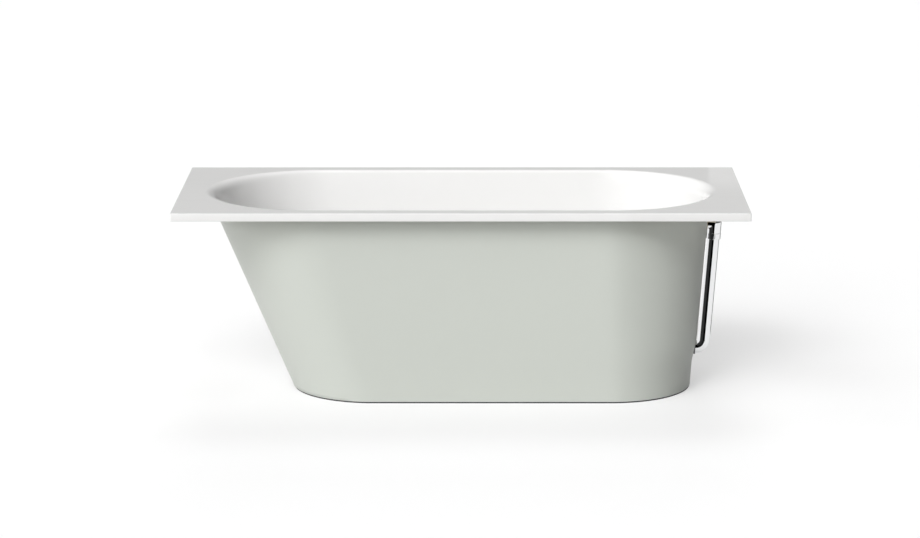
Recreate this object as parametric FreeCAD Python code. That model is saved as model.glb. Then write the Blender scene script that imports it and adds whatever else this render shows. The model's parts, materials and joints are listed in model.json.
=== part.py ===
import FreeCAD, Part
import math
import os

# Alcove bathtub: a white basin hung from a flat rectangular rim, a tapered outer skirt that
# reaches the floor, a steel cradle on four levelling feet, and a plated waste and overflow set
# whose pipe runs down the outside of the foot end.
# Millimetres. The origin is on the floor under the middle of the rim. +X points to the foot
# (drain) end, -X to the head (backrest) end, -Y to the front, +Z up.

# --- rim and basin ---------------------------------------------------------------------------
rim_length = 1700.0
rim_width = 750.0
overall_height = 605.0
rim_end_margin = 75.0         # flat rim beyond each end of the opening
rim_side_margin = 45.0        # flat rim in front of and behind the opening
rim_edge_height = 24.0        # how far the rim's outer lip turns down
rim_corner_radius = 4.0
rim_edge_round = 1.5
sheet = 5.0                   # thickness of the basin and rim sheet
roll_radius_side = 10.0       # roll from the rim into the long walls
roll_radius_end = 38.0        # softer roll into the two end walls
basin_depth = 440.0
head_lean = 25.5              # backrest, degrees from vertical
foot_lean = 4.3
side_lean = 9.0
floor_fillet = 70.0
roll_steps = 6
fillet_steps = 6

# --- boards bonded under the basin -----------------------------------------------------------
batten_thickness = 16.0
board_thickness = 12.0
board_margin = 5.0            # how far the board stays inside the flat of the basin floor
board_gap = 1.0               # joint between neighbouring boards
board_drain_gap = 10.0        # board cut back round the waste fitting

# --- outer skirt -----------------------------------------------------------------------------
skirt_thickness = 3.0
skirt_head_gap = 12.3         # between the basin and the skirt, at the skirt's top
skirt_side_gap = 4.8
skirt_foot_gap = 6.8          # the same from the top down to the waist
skirt_head_lean = 22.98
skirt_side_lean = 7.9
skirt_waist_height = 150.0    # above it the foot end follows the basin's lean
skirt_ankle_height = 78.0     # from the waist down to it the foot end steps in
skirt_step = 9.0
skirt_flange_width = 24.0
seal_height = 4.0
seal_inset = 1.0
seal_width = 8.0

# --- cradle and feet -------------------------------------------------------------------------
rail_size = 30.0
rail_wall = 2.0
rail_inset = 67.0             # from the base board's outline to the rails and their ends
channel_width = 40.0
channel_height = 30.0
channel_wall = 2.5
channel_head_offset = 95.6    # head channel beyond the centre of the skirt's round end
channel_drain_gap = 110.0     # foot channel from the drain
channel_end_margin = 25.0     # channel beyond the foot stud
foot_inset = 70.0             # foot stud from the skirt's outside at the floor
stud_radius = 6.0
stud_top_gap = 14.0           # below the base board, more than the foot can be drawn up
stud_end_gap = 0.3            # above the bottom of its socket
stud_collar_width = 4.0
stud_collar_height = 7.0
pad_radius = 25.0
pad_height = 6.0
pad_hub_wall = 6.0
pad_hub_height = 10.0
nut_wall = 4.4                # from the stud to the nut's corners
nut_height = 10.0

# --- fasteners -------------------------------------------------------------------------------
screw_radius = 2.0
screw_head_overhang = 2.0
screw_head_height = 1.5
driver_gap = 0.6              # round a screw head in the rail's access hole
board_screw_length = 10.0
board_screw_count = 4         # along each rail
skirt_screw_length = 11.0
skirt_screw_count = 5         # along each long side
skirt_screw_inset = 446.0     # first screw from the end of the rim
bolt_radius = 4.0
bolt_head_overhang = 3.0
bolt_head_height = 5.5
bolt_nut_height = 6.0
bolt_end = 2.0                # bolt beyond its nut

# --- waste under the drain -------------------------------------------------------------------
drain_inset = 325.0           # drain from the foot end of the opening
drain_thread_radius = 24.0
drain_hole_gap = 1.0          # hole in the basin round the thread
drain_wall = 3.0
drain_flange_lip = 11.0
drain_flange_thickness = 3.0
drain_flange_chamfer = 1.5
drain_thread_length = 26.0
gasket_thickness = 3.0
gasket_inset = 1.0
drain_gasket_thickness = 1.0
stem_radius = 4.0
stem_guide_wall = 4.0
stem_guide_height = 9.0
guide_bar_width = 4.0
guide_bar_height = 6.5
guide_bar_count = 3
plug_lap = 9.0                # plug over the edge of the drain
plug_thickness = 4.0
plug_dome = 3.0
plug_seal_lap = 6.0
plug_seal_inset = 2.0
plug_seal_thickness = 1.6
pipe_radius = 19.05
pipe_wall = 1.4
waste_drop = 50.0             # waste pipe's axis under the basin floor
shoe_bore_radius = 19.0
shoe_wall = 3.5
shoe_flange_lip = 11.0
shoe_flange_thickness = 4.0
shoe_root_length = 39.0       # thick part of the shoe's leg
shoe_root_wall = 2.9
lever_pivot_offset = 26.0     # from the drain axis to the lever's pin
lever_drop = 9.0              # pin below the waste pipe's axis
lever_arm_up = 18.0
lever_thickness = 5.0
lever_hub_radius = 5.0
lever_nose_radius = 3.0
lever_pin_radius = 2.0
lever_pin_inset = 1.0         # pin ends below the shoe's outside
stem_gap = 0.3                # lowered stem above the lever's nose

# --- tee and tailpiece -----------------------------------------------------------------------
tee_offset = 150.0            # from the drain to the tee
tee_half_run = 36.0
tee_drop = 42.0
tee_wall = 3.45
slip_nut_wall = 2.5
slip_nut_height = 13.0
slip_nut_bite = 3.0           # how far a nut laps over the fitting's end
slip_washer_thickness = 4.0
socket_depth = 20.0
tailpiece_length = 81.0
tailpiece_free_length = 48.0  # below its stop bead, for the slip joint in the floor
tailpiece_bead = 1.2
tailpiece_bead_height = 2.0

# --- overflow --------------------------------------------------------------------------------
overflow_drop = 100.0         # overflow's axis under the rim
overflow_hole_gap = 1.5       # basin hole round the faceplate screws
overflow_flange_lip = 8.0
overflow_flange_thickness = 2.0
overflow_gasket_thickness = 1.5
overflow_body_wall = 2.05
elbow_wall = 2.45
elbow_skirt = 8.5             # elbow's straight end beyond its round corner
elbow_socket = 9.0            # how far a tube enters the elbow
elbow_start_gap = 1.3         # elbow face to the outside of the skirt
downpipe_nut_gap = 0.55       # nut on the downpipe to the outside of the skirt
downpipe_bend_throat = 4.95   # inner radius of the low bend
elbow_nut_wall = 0.8
elbow_nut_height = 19.0
elbow_washer_width = 1.45
grommet_wall = 3.0
grommet_length = 9.0
grommet_proud = 2.0           # how far it stands out of the skirt
faceplate_lap = 4.0           # faceplate over the edge of the basin hole
faceplate_thickness = 2.5
face_gasket_thickness = 4.0
spindle_radius = 5.0
spindle_hub_wall = 3.0
spindle_hub_length = 9.0
face_screw_radius = 2.5
face_screw_gap = 0.45         # screws outside the tail tube
face_slot_radius = 4.0        # water slots round the faceplate's hub
face_slot_reach = 6.3         # from the hub to a slot
face_slot_spread = 36.0       # degrees between them
knob_lap = 5.0                # knob beyond the faceplate
knob_thickness = 11.0
knob_gap = 4.0
knob_rim_round = 3.0
knob_recess_depth = 5.0
knob_grip_count = 3
knob_grip_radius = 12.0
knob_grip_depth = 3.5
crank_gap = 2.5               # crank tip inside the tail tube
crank_thickness = 4.0
crank_radius = 3.5
guide_thickness = 3.0
guide_gap = 3.6               # from the crank to the cable guide's far face
guide_slot_count = 3
guide_slot_radius = 4.0
guide_slot_offset = 10.2
cable_radius = 2.5
cable_elbow_radius = 15.0
cable_end_gap = 8.0           # from the cable's end to the lever's upright arm

# --- clearances ------------------------------------------------------------------------------
running_gap = 0.05            # radial, a shaft that turns or slides in its hole
thread_gap = 0.05             # radial, a plain cylinder that stands for a threaded joint
hole_gap = 0.3                # radial, a screw or bolt through a plain hole
lift_gap = 0.15               # the lowered plug's seal above the drain flange
cut_over = 1.0                # how far a cutting tool runs past the sheet

# --- sizes that follow -----------------------------------------------------------------------
half_opening = rim_length / 2 - rim_end_margin
half_width = rim_width / 2 - rim_side_margin
rim_underside = overall_height - sheet
floor_z = overall_height - basin_depth
floor_underside = floor_z - sheet
board_underside = floor_underside - board_thickness
rail_underside = board_underside - rail_size
channel_underside = rail_underside - channel_height
skirt_top = rim_underside - batten_thickness
drain_x = half_opening - drain_inset
waste_axis_z = floor_z - waste_drop
tee_x = drain_x + tee_offset
overflow_z = overall_height - overflow_drop
foot_slope = math.tan(math.radians(foot_lean))
foot_cosine = math.cos(math.radians(foot_lean))

screw_head_radius = screw_radius + screw_head_overhang
bolt_head_radius = bolt_radius + bolt_head_overhang
drain_hole_radius = drain_thread_radius + drain_hole_gap
drain_bore_radius = drain_thread_radius - drain_wall
drain_flange_radius = drain_thread_radius + drain_flange_lip
shoe_flange_radius = drain_thread_radius + shoe_flange_lip
shoe_root_radius = pipe_radius + shoe_root_wall
plug_radius = drain_bore_radius + plug_lap
tee_radius = pipe_radius + tee_wall
slip_nut_radius = tee_radius + slip_nut_wall
elbow_radius = pipe_radius + elbow_wall
elbow_leg = elbow_radius + elbow_skirt
elbow_nut_radius = elbow_radius + elbow_nut_wall
elbow_washer_radius = pipe_radius + elbow_washer_width
downpipe_bend_radius = pipe_radius + downpipe_bend_throat
grommet_radius = pipe_radius + grommet_wall
overflow_bore_radius = pipe_radius - overflow_body_wall
face_screw_offset = pipe_radius + face_screw_gap + face_screw_radius
overflow_hole_radius = face_screw_offset + face_screw_radius + overflow_hole_gap
overflow_flange_radius = overflow_hole_radius + overflow_flange_lip
faceplate_radius = overflow_hole_radius + faceplate_lap
knob_radius = faceplate_radius + knob_lap
spindle_hub_radius = spindle_radius + spindle_hub_wall
face_slot_offset = spindle_hub_radius + face_slot_radius + face_slot_reach
crank_length = overflow_bore_radius - crank_gap - crank_radius


def vec(x, y, z):
    return FreeCAD.Vector(x, y, z)


X_AXIS = vec(1, 0, 0)
Y_AXIS = vec(0, 1, 0)
Z_AXIS = vec(0, 0, 1)


# --- simple solids ---------------------------------------------------------------------------

def rod(radius, start, axis, length):
    return Part.makeCylinder(radius, length, start, axis)


def ring(outer, inner, start, axis, length):
    return rod(outer, start, axis, length).cut(rod(inner, start, axis, length))


def block(x0, x1, y0, y1, z0, z1):
    return Part.makeBox(x1 - x0, y1 - y0, z1 - z0, vec(x0, y0, z0))


def hexagon(radius, start, length):
    """Upright hexagonal prism, radius across its corners."""
    corners = []
    for i in range(7):
        angle = math.radians(60 * i)
        corners.append(start + vec(radius * math.cos(angle), radius * math.sin(angle), 0))
    return Part.Face(Part.makePolygon(corners)).extrude(Z_AXIS * length)


def union(shapes):
    whole = shapes[0]
    for shape in shapes[1:]:
        whole = whole.fuse(shape)
    return whole.removeSplitter()


def group(shapes):
    return Part.makeCompound(shapes)


# --- basin and skirt outlines ----------------------------------------------------------------

def stadium(z, head, foot, half):
    """Outline with two round ends: tips at x = -head and x = foot."""
    head_centre = half - head
    foot_centre = foot - half
    bow = half * math.sqrt(0.5)
    front_head = vec(head_centre, -half, z)
    front_foot = vec(foot_centre, -half, z)
    back_foot = vec(foot_centre, half, z)
    back_head = vec(head_centre, half, z)
    foot_tip = vec(foot, 0, z)
    head_tip = vec(-head, 0, z)
    edges = [
        Part.makeLine(front_head, front_foot),
        Part.Arc(front_foot, vec(foot_centre + bow, -bow, z), foot_tip).toShape(),
        Part.Arc(foot_tip, vec(foot_centre + bow, bow, z), back_foot).toShape(),
        Part.makeLine(back_foot, back_head),
        Part.Arc(back_head, vec(head_centre - bow, bow, z), head_tip).toShape(),
        Part.Arc(head_tip, vec(head_centre - bow, -bow, z), front_head).toShape(),
    ]
    return Part.Wire(edges)


def wall_place(z, edge, roll, lean, offset):
    """Distance of a basin wall from the middle at height z.

    The wall leaves the rim at edge through a roll, runs down straight at its lean and turns
    into the floor through a fillet. offset 0 is the wet face, sheet is the dry one.
    """
    top = overall_height - offset
    floor = floor_z - offset
    roll = roll - offset
    fillet = floor_fillet + offset
    angle = math.radians(lean)
    straight_top = top - roll * (1 - math.sin(angle))
    straight_place = edge - roll * math.cos(angle)
    if z >= straight_top:
        rise = z - (top - roll)
        return edge - math.sqrt(max(roll ** 2 - rise ** 2, 0.0))
    corner = straight_place - (straight_top - floor) * math.tan(angle)
    reach = fillet * math.tan((math.pi / 2 - angle) / 2)
    if z < floor + reach * math.cos(angle):
        fall = fillet - (z - floor)
        return corner - reach + math.sqrt(max(fillet ** 2 - fall ** 2, 0.0))
    return straight_place - (straight_top - z) * math.tan(angle)


def bowl_section(z, offset):
    head = wall_place(z, half_opening, roll_radius_end, head_lean, offset)
    foot = wall_place(z, half_opening, roll_radius_end, foot_lean, offset)
    side = wall_place(z, half_width, roll_radius_side, side_lean, offset)
    return stadium(z, head, foot, side)


def bowl_heights(offset):
    top = overall_height - offset
    floor = floor_z - offset
    heights = {top, floor}
    for roll in (roll_radius_side - offset, roll_radius_end - offset):
        for step in range(1, roll_steps + 1):
            heights.add(round(top - roll * (1 - math.cos(math.pi / 2 * step / roll_steps)), 3))
    for step in range(1, fillet_steps + 1):
        rise = (floor_fillet + offset) * (1 - math.cos(math.pi / 2 * step / fillet_steps))
        heights.add(round(floor + rise, 3))
    return sorted(heights, reverse=True)


def bowl(offset):
    wires = [bowl_section(z, offset) for z in bowl_heights(offset)]
    return Part.makeLoft(wires, True, True)


def dry_place(z, edge, roll, lean):
    """Outside of the basin wall at height z."""
    return wall_place(z, edge, roll, lean, sheet)


def skirt_side(z):
    top = dry_place(skirt_top, half_width, roll_radius_side, side_lean)
    slope = math.tan(math.radians(skirt_side_lean))
    return top + skirt_side_gap + skirt_thickness - slope * (skirt_top - z)


def skirt_head(z):
    top = dry_place(skirt_top, half_opening, roll_radius_end, head_lean)
    slope = math.tan(math.radians(skirt_head_lean))
    return top + skirt_head_gap + skirt_thickness - slope * (skirt_top - z)


def skirt_foot(z):
    """The foot end leans with the basin, and steps in a little from the waist down."""
    level = dry_place(overflow_z, half_opening, roll_radius_end, foot_lean)
    line = level + skirt_foot_gap + skirt_thickness - foot_slope * (overflow_z - z)
    if z >= skirt_waist_height:
        return line
    share = (skirt_waist_height - z) / (skirt_waist_height - skirt_ankle_height)
    return line - skirt_step * min(share, 1.0)


def skirt_section(z, inset):
    return stadium(z, skirt_head(z) - inset, skirt_foot(z) - inset, skirt_side(z) - inset)


def skirt_body(inset, bottom, top):
    heights = [bottom, skirt_ankle_height, skirt_waist_height, top]
    return Part.makeLoft([skirt_section(z, inset) for z in heights], True, True)


def slab(wire, thickness):
    return Part.Face(wire).extrude(Z_AXIS * thickness)


# --- the leaning frame of the overflow -------------------------------------------------------

def overflow_frame():
    """Local x leaves the basin square to the foot wall, local z runs up along the wall."""
    foot = wall_place(overflow_z, half_opening, roll_radius_end, foot_lean, 0.0)
    turn = FreeCAD.Rotation(Y_AXIS, foot_lean)
    return FreeCAD.Placement(vec(foot, 0, overflow_z), turn)


def lean(shape):
    """Carry a shape built in the overflow's local frame to its place."""
    moved = shape.copy()
    moved.transformShape(overflow_frame().toMatrix(), True)
    return moved


# distances along local x
skirt_outside = (skirt_foot(overflow_z) - wall_place(overflow_z, half_opening, roll_radius_end,
                                                     foot_lean, 0.0)) * foot_cosine
skirt_inside = skirt_outside - skirt_thickness * foot_cosine
body_flange_start = sheet + overflow_gasket_thickness
elbow_start = skirt_outside + elbow_start_gap
downpipe_axis = skirt_outside + downpipe_nut_gap + elbow_nut_radius
body_end = elbow_start + elbow_socket
face_start = -face_gasket_thickness - faceplate_thickness
knob_back = face_start - knob_gap
crank_start = face_start + spindle_hub_length + running_gap
guide_start = crank_start + crank_thickness + guide_gap


# --- places of the boards, cradle and feet ---------------------------------------------------

board_head = dry_place(floor_underside, half_opening, roll_radius_end, head_lean) - board_margin
board_foot = dry_place(floor_underside, half_opening, roll_radius_end, foot_lean) - board_margin
board_half = dry_place(floor_underside, half_width, roll_radius_side, side_lean) - board_margin
rail_y = board_half - rail_inset
rail_head_x = rail_inset - board_head
rail_foot_x = board_foot - rail_inset
channel_head_x = skirt_side(0.0) - skirt_head(0.0) - channel_head_offset
channel_foot_x = drain_x - channel_drain_gap
foot_y = skirt_side(0.0) - foot_inset
channel_half_length = foot_y + channel_end_margin
skirt_screw_y = skirt_side(skirt_top) + skirt_flange_width / 2


# --- basin and boards ------------------------------------------------------------------------

def make_basin():
    rim = block(-rim_length / 2, rim_length / 2, -rim_width / 2, rim_width / 2,
                overall_height - rim_edge_height, overall_height)
    upright = [e for e in rim.Edges if e.BoundBox.ZLength > rim_edge_height / 2]
    rim = rim.makeFillet(rim_corner_radius, upright)
    top_edges = [e for e in rim.Edges
                 if min(v.Z for v in e.Vertexes) > overall_height - rim_edge_round / 2]
    rim = rim.makeFillet(rim_edge_round, top_edges)
    pocket = block(-rim_length / 2 + sheet, rim_length / 2 - sheet,
                   -rim_width / 2 + sheet, rim_width / 2 - sheet,
                   overall_height - rim_edge_height - cut_over, rim_underside)
    shell = rim.cut(pocket).fuse(bowl(sheet))
    shell = shell.cut(bowl(0.0))
    drain = rod(drain_hole_radius, vec(drain_x, 0, floor_underside - cut_over), Z_AXIS,
                sheet + 2 * cut_over)
    overflow = lean(rod(overflow_hole_radius, vec(-sheet, 0, 0), X_AXIS, 4 * sheet))
    return shell.cut(drain).cut(overflow)


def make_base_board():
    outline = stadium(board_underside, board_head, board_foot, board_half)
    board = slab(outline, board_thickness)
    clear = rod(shoe_flange_radius + board_drain_gap, vec(drain_x, 0, board_underside),
                Z_AXIS, board_thickness)
    board = board.cut(clear)
    for x, y in board_screw_places():
        board = board.cut(rod(screw_radius, vec(x, y, board_underside), Z_AXIS,
                              board_screw_length - rail_wall))
    return board


def make_side_batten(side):
    """Board under the front (-1) or back (+1) of the rim."""
    inner = half_width + board_gap
    outer = rim_width / 2 - sheet
    half = rim_length / 2 - sheet
    low, high = sorted((side * inner, side * outer))
    batten = block(-half, half, low, high, skirt_top, rim_underside)
    for x in skirt_screw_places():
        batten = batten.cut(rod(screw_radius, vec(x, side * skirt_screw_y, skirt_top), Z_AXIS,
                                skirt_screw_length - skirt_thickness))
    return batten


def make_end_batten(end):
    """Board under the head (-1) or foot (+1) end of the rim."""
    inner = half_opening + board_gap
    outer = rim_length / 2 - sheet
    low, high = sorted((end * inner, end * outer))
    return block(low, high, -half_width, half_width, skirt_top, rim_underside)


# --- skirt -----------------------------------------------------------------------------------

def skirt_screw_places():
    start = skirt_screw_inset - rim_length / 2
    step = -2 * start / (skirt_screw_count - 1)
    return [start + step * i for i in range(skirt_screw_count)]


def make_outer_skirt():
    outer = skirt_body(0.0, seal_height, skirt_top)
    inner = skirt_body(skirt_thickness, seal_height, skirt_top)
    flange_z = skirt_top - skirt_thickness
    flange = slab(stadium(flange_z, skirt_head(skirt_top) + skirt_flange_width,
                          skirt_foot(skirt_top) + skirt_flange_width,
                          skirt_side(skirt_top) + skirt_flange_width), skirt_thickness)
    skirt = outer.fuse(flange).cut(inner)
    depth = 2 * grommet_length
    upper_hole = lean(rod(grommet_radius, vec(skirt_outside - depth, 0, 0), X_AXIS, 2 * depth))
    lower_hole = rod(grommet_radius, vec(pipe_entry_x() - depth, 0, waste_axis_z), X_AXIS,
                     2 * depth)
    skirt = skirt.cut(upper_hole).cut(lower_hole)
    for side in (-1, 1):
        for x in skirt_screw_places():
            place = vec(x, side * skirt_screw_y, flange_z)
            skirt = skirt.cut(rod(screw_head_radius, place, Z_AXIS, screw_head_height))
            skirt = skirt.cut(rod(screw_radius + hole_gap, place, Z_AXIS, skirt_thickness))
    return skirt


def make_floor_seal():
    outer = slab(skirt_section(0.0, seal_inset), seal_height)
    inner = slab(skirt_section(0.0, seal_inset + seal_width), seal_height)
    return outer.cut(inner)


def make_skirt_screws():
    screws = []
    for side in (-1, 1):
        for x in skirt_screw_places():
            place = vec(x, side * skirt_screw_y, skirt_top - skirt_thickness)
            head = rod(screw_head_radius, place, Z_AXIS, screw_head_height)
            screws.append(union([head, rod(screw_radius, place, Z_AXIS, skirt_screw_length)]))
    return group(screws)


# --- cradle ----------------------------------------------------------------------------------

def board_screw_places():
    start = rail_head_x + rail_size
    step = (rail_foot_x - rail_size - start) / (board_screw_count - 1)
    places = []
    for side in (-1, 1):
        for i in range(board_screw_count):
            places.append((start + step * i, side * rail_y))
    return places


def make_rail(side):
    y = side * rail_y
    half = rail_size / 2
    rail = block(rail_head_x, rail_foot_x, y - half, y + half, rail_underside, board_underside)
    bore = block(rail_head_x, rail_foot_x, y - half + rail_wall, y + half - rail_wall,
                 rail_underside + rail_wall, board_underside - rail_wall)
    rail = rail.cut(bore)
    for x, screw_y in board_screw_places():
        if screw_y == y:
            rail = rail.cut(rod(screw_radius + hole_gap,
                                vec(x, y, board_underside - rail_wall), Z_AXIS, rail_wall))
            rail = rail.cut(rod(screw_head_radius + driver_gap, vec(x, y, rail_underside),
                                Z_AXIS, rail_wall))
    for x in (channel_head_x, channel_foot_x):
        rail = rail.cut(rod(bolt_radius + hole_gap, vec(x, y, rail_underside), Z_AXIS, rail_wall))
    return rail


def make_board_screws():
    screws = []
    for x, y in board_screw_places():
        under = board_underside - rail_wall
        head = rod(screw_head_radius, vec(x, y, under - 2 * screw_head_height), Z_AXIS,
                   2 * screw_head_height)
        shank = rod(screw_radius, vec(x, y, under), Z_AXIS, board_screw_length)
        screws.append(union([head, shank]))
    return group(screws)


def make_channel(x):
    half = channel_width / 2
    length = channel_half_length
    channel = block(x - half, x + half, -length, length, channel_underside, rail_underside)
    hollow = block(x - half + channel_wall, x + half - channel_wall, -length, length,
                   channel_underside, rail_underside - channel_wall)
    channel = channel.cut(hollow)
    for side in (-1, 1):
        web = rail_underside - channel_wall
        bolt = rod(bolt_radius + hole_gap, vec(x, side * rail_y, web), Z_AXIS, channel_wall)
        stud = rod(stud_radius + hole_gap, vec(x, side * foot_y, web), Z_AXIS, channel_wall)
        channel = channel.cut(bolt).cut(stud)
    return channel


def channel_bolt_places():
    return [(x, side * rail_y) for x in (channel_head_x, channel_foot_x) for side in (-1, 1)]


def make_channel_bolts():
    bolts = []
    for x, y in channel_bolt_places():
        web = rail_underside - channel_wall
        head = hexagon(bolt_head_radius, vec(x, y, web - bolt_head_height), bolt_head_height)
        length = channel_wall + rail_wall + bolt_nut_height + bolt_end
        bolts.append(union([head, rod(bolt_radius, vec(x, y, web), Z_AXIS, length)]))
    return group(bolts)


def make_channel_nuts():
    nuts = []
    for x, y in channel_bolt_places():
        seat = rail_underside + rail_wall
        nut = hexagon(bolt_head_radius, vec(x, y, seat), bolt_nut_height)
        nuts.append(nut.cut(rod(bolt_radius, vec(x, y, seat), Z_AXIS, bolt_nut_height)))
    return group(nuts)


# --- feet ------------------------------------------------------------------------------------

def make_pad(x, y):
    base = rod(pad_radius, vec(x, y, 0), Z_AXIS, pad_height)
    hub = rod(stud_radius + pad_hub_wall, vec(x, y, pad_height), Z_AXIS, pad_hub_height)
    socket = rod(stud_radius + running_gap, vec(x, y, pad_height), Z_AXIS, pad_hub_height)
    return base.fuse(hub).cut(socket)


def make_stud(x, y):
    foot = pad_height + stud_end_gap
    top = board_underside - stud_top_gap
    shank = rod(stud_radius, vec(x, y, foot), Z_AXIS, top - foot)
    collar = hexagon(stud_radius + stud_collar_width, vec(x, y, foot + pad_hub_height),
                     stud_collar_height)
    return union([shank, collar])


def foot_places():
    return [(x, side * foot_y) for x in (channel_head_x, channel_foot_x) for side in (-1, 1)]


def make_foot_nuts(seat):
    nuts = []
    for x, y in foot_places():
        nut = hexagon(stud_radius + nut_wall, vec(x, y, seat), nut_height)
        nuts.append(nut.cut(rod(stud_radius + thread_gap, vec(x, y, seat), Z_AXIS, nut_height)))
    return group(nuts)


# --- drain and plug --------------------------------------------------------------------------

flange_top = floor_z + drain_gasket_thickness + drain_flange_thickness
shoe_top = floor_underside - gasket_thickness
lever_x = drain_x + lever_pivot_offset
lever_z = waste_axis_z - lever_drop
nose_top = lever_z + lever_nose_radius
thread_foot = flange_top - drain_flange_thickness - drain_gasket_thickness - drain_thread_length


def make_drain_flange():
    seat = flange_top - drain_flange_thickness
    flange = rod(drain_flange_radius, vec(drain_x, 0, seat), Z_AXIS, drain_flange_thickness)
    thread = rod(drain_thread_radius, vec(drain_x, 0, thread_foot), Z_AXIS, seat - thread_foot)
    body = flange.fuse(thread)
    body = body.cut(rod(drain_bore_radius, vec(drain_x, 0, thread_foot), Z_AXIS,
                        flange_top - thread_foot))
    rim_edge = [e for e in body.Edges if e.BoundBox.ZMin > flange_top - drain_flange_chamfer / 2
                and e.BoundBox.XLength > drain_thread_radius + drain_flange_radius]
    body = body.makeChamfer(drain_flange_chamfer, rim_edge)
    hub = rod(stem_radius + stem_guide_wall, vec(drain_x, 0, thread_foot), Z_AXIS,
              stem_guide_height)
    guide = [hub]
    for i in range(guide_bar_count):
        bar = block(0, drain_bore_radius + drain_wall / 2, -guide_bar_width / 2,
                    guide_bar_width / 2, thread_foot, thread_foot + guide_bar_height)
        bar.rotate(vec(0, 0, 0), Z_AXIS, 360 / guide_bar_count * i)
        bar.translate(vec(drain_x, 0, 0))
        guide.append(bar)
    body = union([body] + guide)
    return body.cut(rod(stem_radius + running_gap, vec(drain_x, 0, thread_foot), Z_AXIS,
                        drain_thread_length))


def make_drain_gasket():
    return ring(drain_flange_radius - gasket_inset, drain_thread_radius,
                vec(drain_x, 0, floor_z), Z_AXIS, drain_gasket_thickness)


def make_shoe_gasket():
    return ring(shoe_flange_radius, drain_thread_radius + gasket_inset,
                vec(drain_x, 0, shoe_top), Z_AXIS, gasket_thickness)


def make_waste_shoe():
    outer = shoe_bore_radius + shoe_wall
    cup_outer = drain_thread_radius + shoe_wall
    bottom = waste_axis_z - outer
    leg_end = tee_x - tee_half_run + socket_depth
    flange = rod(shoe_flange_radius, vec(drain_x, 0, shoe_top - shoe_flange_thickness), Z_AXIS,
                 shoe_flange_thickness)
    cup = rod(cup_outer, vec(drain_x, 0, thread_foot - shoe_wall), Z_AXIS,
              shoe_top - thread_foot + shoe_wall)
    neck = rod(outer, vec(drain_x, 0, bottom), Z_AXIS, shoe_top - bottom)
    leg = rod(pipe_radius, vec(drain_x, 0, waste_axis_z), X_AXIS, leg_end - drain_x)
    root = rod(shoe_root_radius, vec(drain_x, 0, waste_axis_z), X_AXIS, shoe_root_length)
    body = union([flange, cup, neck, root, leg])
    thread = rod(drain_thread_radius + thread_gap, vec(drain_x, 0, thread_foot), Z_AXIS,
                 shoe_top - thread_foot)
    bore_z = bottom + shoe_wall
    bore = rod(shoe_bore_radius, vec(drain_x, 0, bore_z), Z_AXIS, thread_foot - bore_z)
    way = rod(pipe_radius - pipe_wall, vec(drain_x, 0, waste_axis_z), X_AXIS, leg_end - drain_x)
    pin = rod(lever_pin_radius, vec(lever_x, -outer, lever_z), Y_AXIS, 2 * outer)
    return body.cut(thread).cut(bore).cut(way).cut(pin)


def make_lever_pin():
    reach = math.sqrt(shoe_root_radius ** 2 - lever_drop ** 2) - lever_pin_inset
    return rod(lever_pin_radius, vec(lever_x, -reach, lever_z), Y_AXIS, 2 * reach)


def make_lift_lever():
    half = lever_thickness / 2
    start = vec(lever_x, -half, lever_z)
    hub = rod(lever_hub_radius, start, Y_AXIS, lever_thickness)
    nose = rod(lever_nose_radius, vec(drain_x, -half, lever_z), Y_AXIS, lever_thickness)
    arm = block(drain_x, lever_x, -half, half, lever_z - lever_nose_radius, nose_top)
    upright = block(lever_x - lever_nose_radius, lever_x + lever_nose_radius, -half, half,
                    lever_z, lever_z + lever_arm_up)
    body = union([hub, nose, arm, upright])
    return body.cut(rod(lever_pin_radius + running_gap, start, Y_AXIS, lever_thickness))


def make_plug_stem():
    foot = nose_top + stem_gap
    top = flange_top + lift_gap + plug_seal_thickness
    return rod(stem_radius, vec(drain_x, 0, foot), Z_AXIS, top - foot)


def make_plug_seal():
    """Flat washer under the plug that closes on the drain flange."""
    return ring(drain_bore_radius + plug_seal_lap, drain_bore_radius - plug_seal_inset,
                vec(drain_x, 0, flange_top + lift_gap), Z_AXIS, plug_seal_thickness)


def make_plug_cap():
    """Flat disc with a shallow domed top, cut from the ball that the dome belongs to."""
    seat = flange_top + lift_gap + plug_seal_thickness
    crown = seat + plug_thickness
    ball = (plug_radius ** 2 + plug_dome ** 2) / (2 * plug_dome)
    disc = rod(plug_radius, vec(drain_x, 0, seat), Z_AXIS, plug_thickness)
    return disc.common(Part.makeSphere(ball, vec(drain_x, 0, crown - ball)))


# --- tee and tailpiece -----------------------------------------------------------------------

def make_tee():
    start = vec(tee_x - tee_half_run, 0, waste_axis_z)
    run = rod(tee_radius, start, X_AXIS, 2 * tee_half_run)
    branch = rod(tee_radius, vec(tee_x, 0, waste_axis_z - tee_drop), Z_AXIS, tee_drop)
    body = run.fuse(branch)
    bore = pipe_radius - pipe_wall
    socket = pipe_radius + thread_gap
    body = body.cut(rod(bore, start, X_AXIS, 2 * tee_half_run))
    body = body.cut(rod(bore, vec(tee_x, 0, waste_axis_z - tee_drop), Z_AXIS, tee_drop))
    body = body.cut(rod(socket, start, X_AXIS, socket_depth))
    body = body.cut(rod(socket, vec(tee_x + tee_half_run - socket_depth, 0, waste_axis_z),
                        X_AXIS, socket_depth))
    return body.cut(rod(socket, vec(tee_x, 0, waste_axis_z - tee_drop), Z_AXIS, socket_depth))


def tee_mouths():
    """End centre and outward direction of each mouth of the tee."""
    return [
        (vec(tee_x - tee_half_run, 0, waste_axis_z), vec(-1, 0, 0)),
        (vec(tee_x + tee_half_run, 0, waste_axis_z), X_AXIS),
        (vec(tee_x, 0, waste_axis_z - tee_drop), vec(0, 0, -1)),
    ]


def slip_washer(mouth, out, washer_radius):
    return ring(washer_radius, pipe_radius + thread_gap, mouth, out, slip_washer_thickness)


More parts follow.
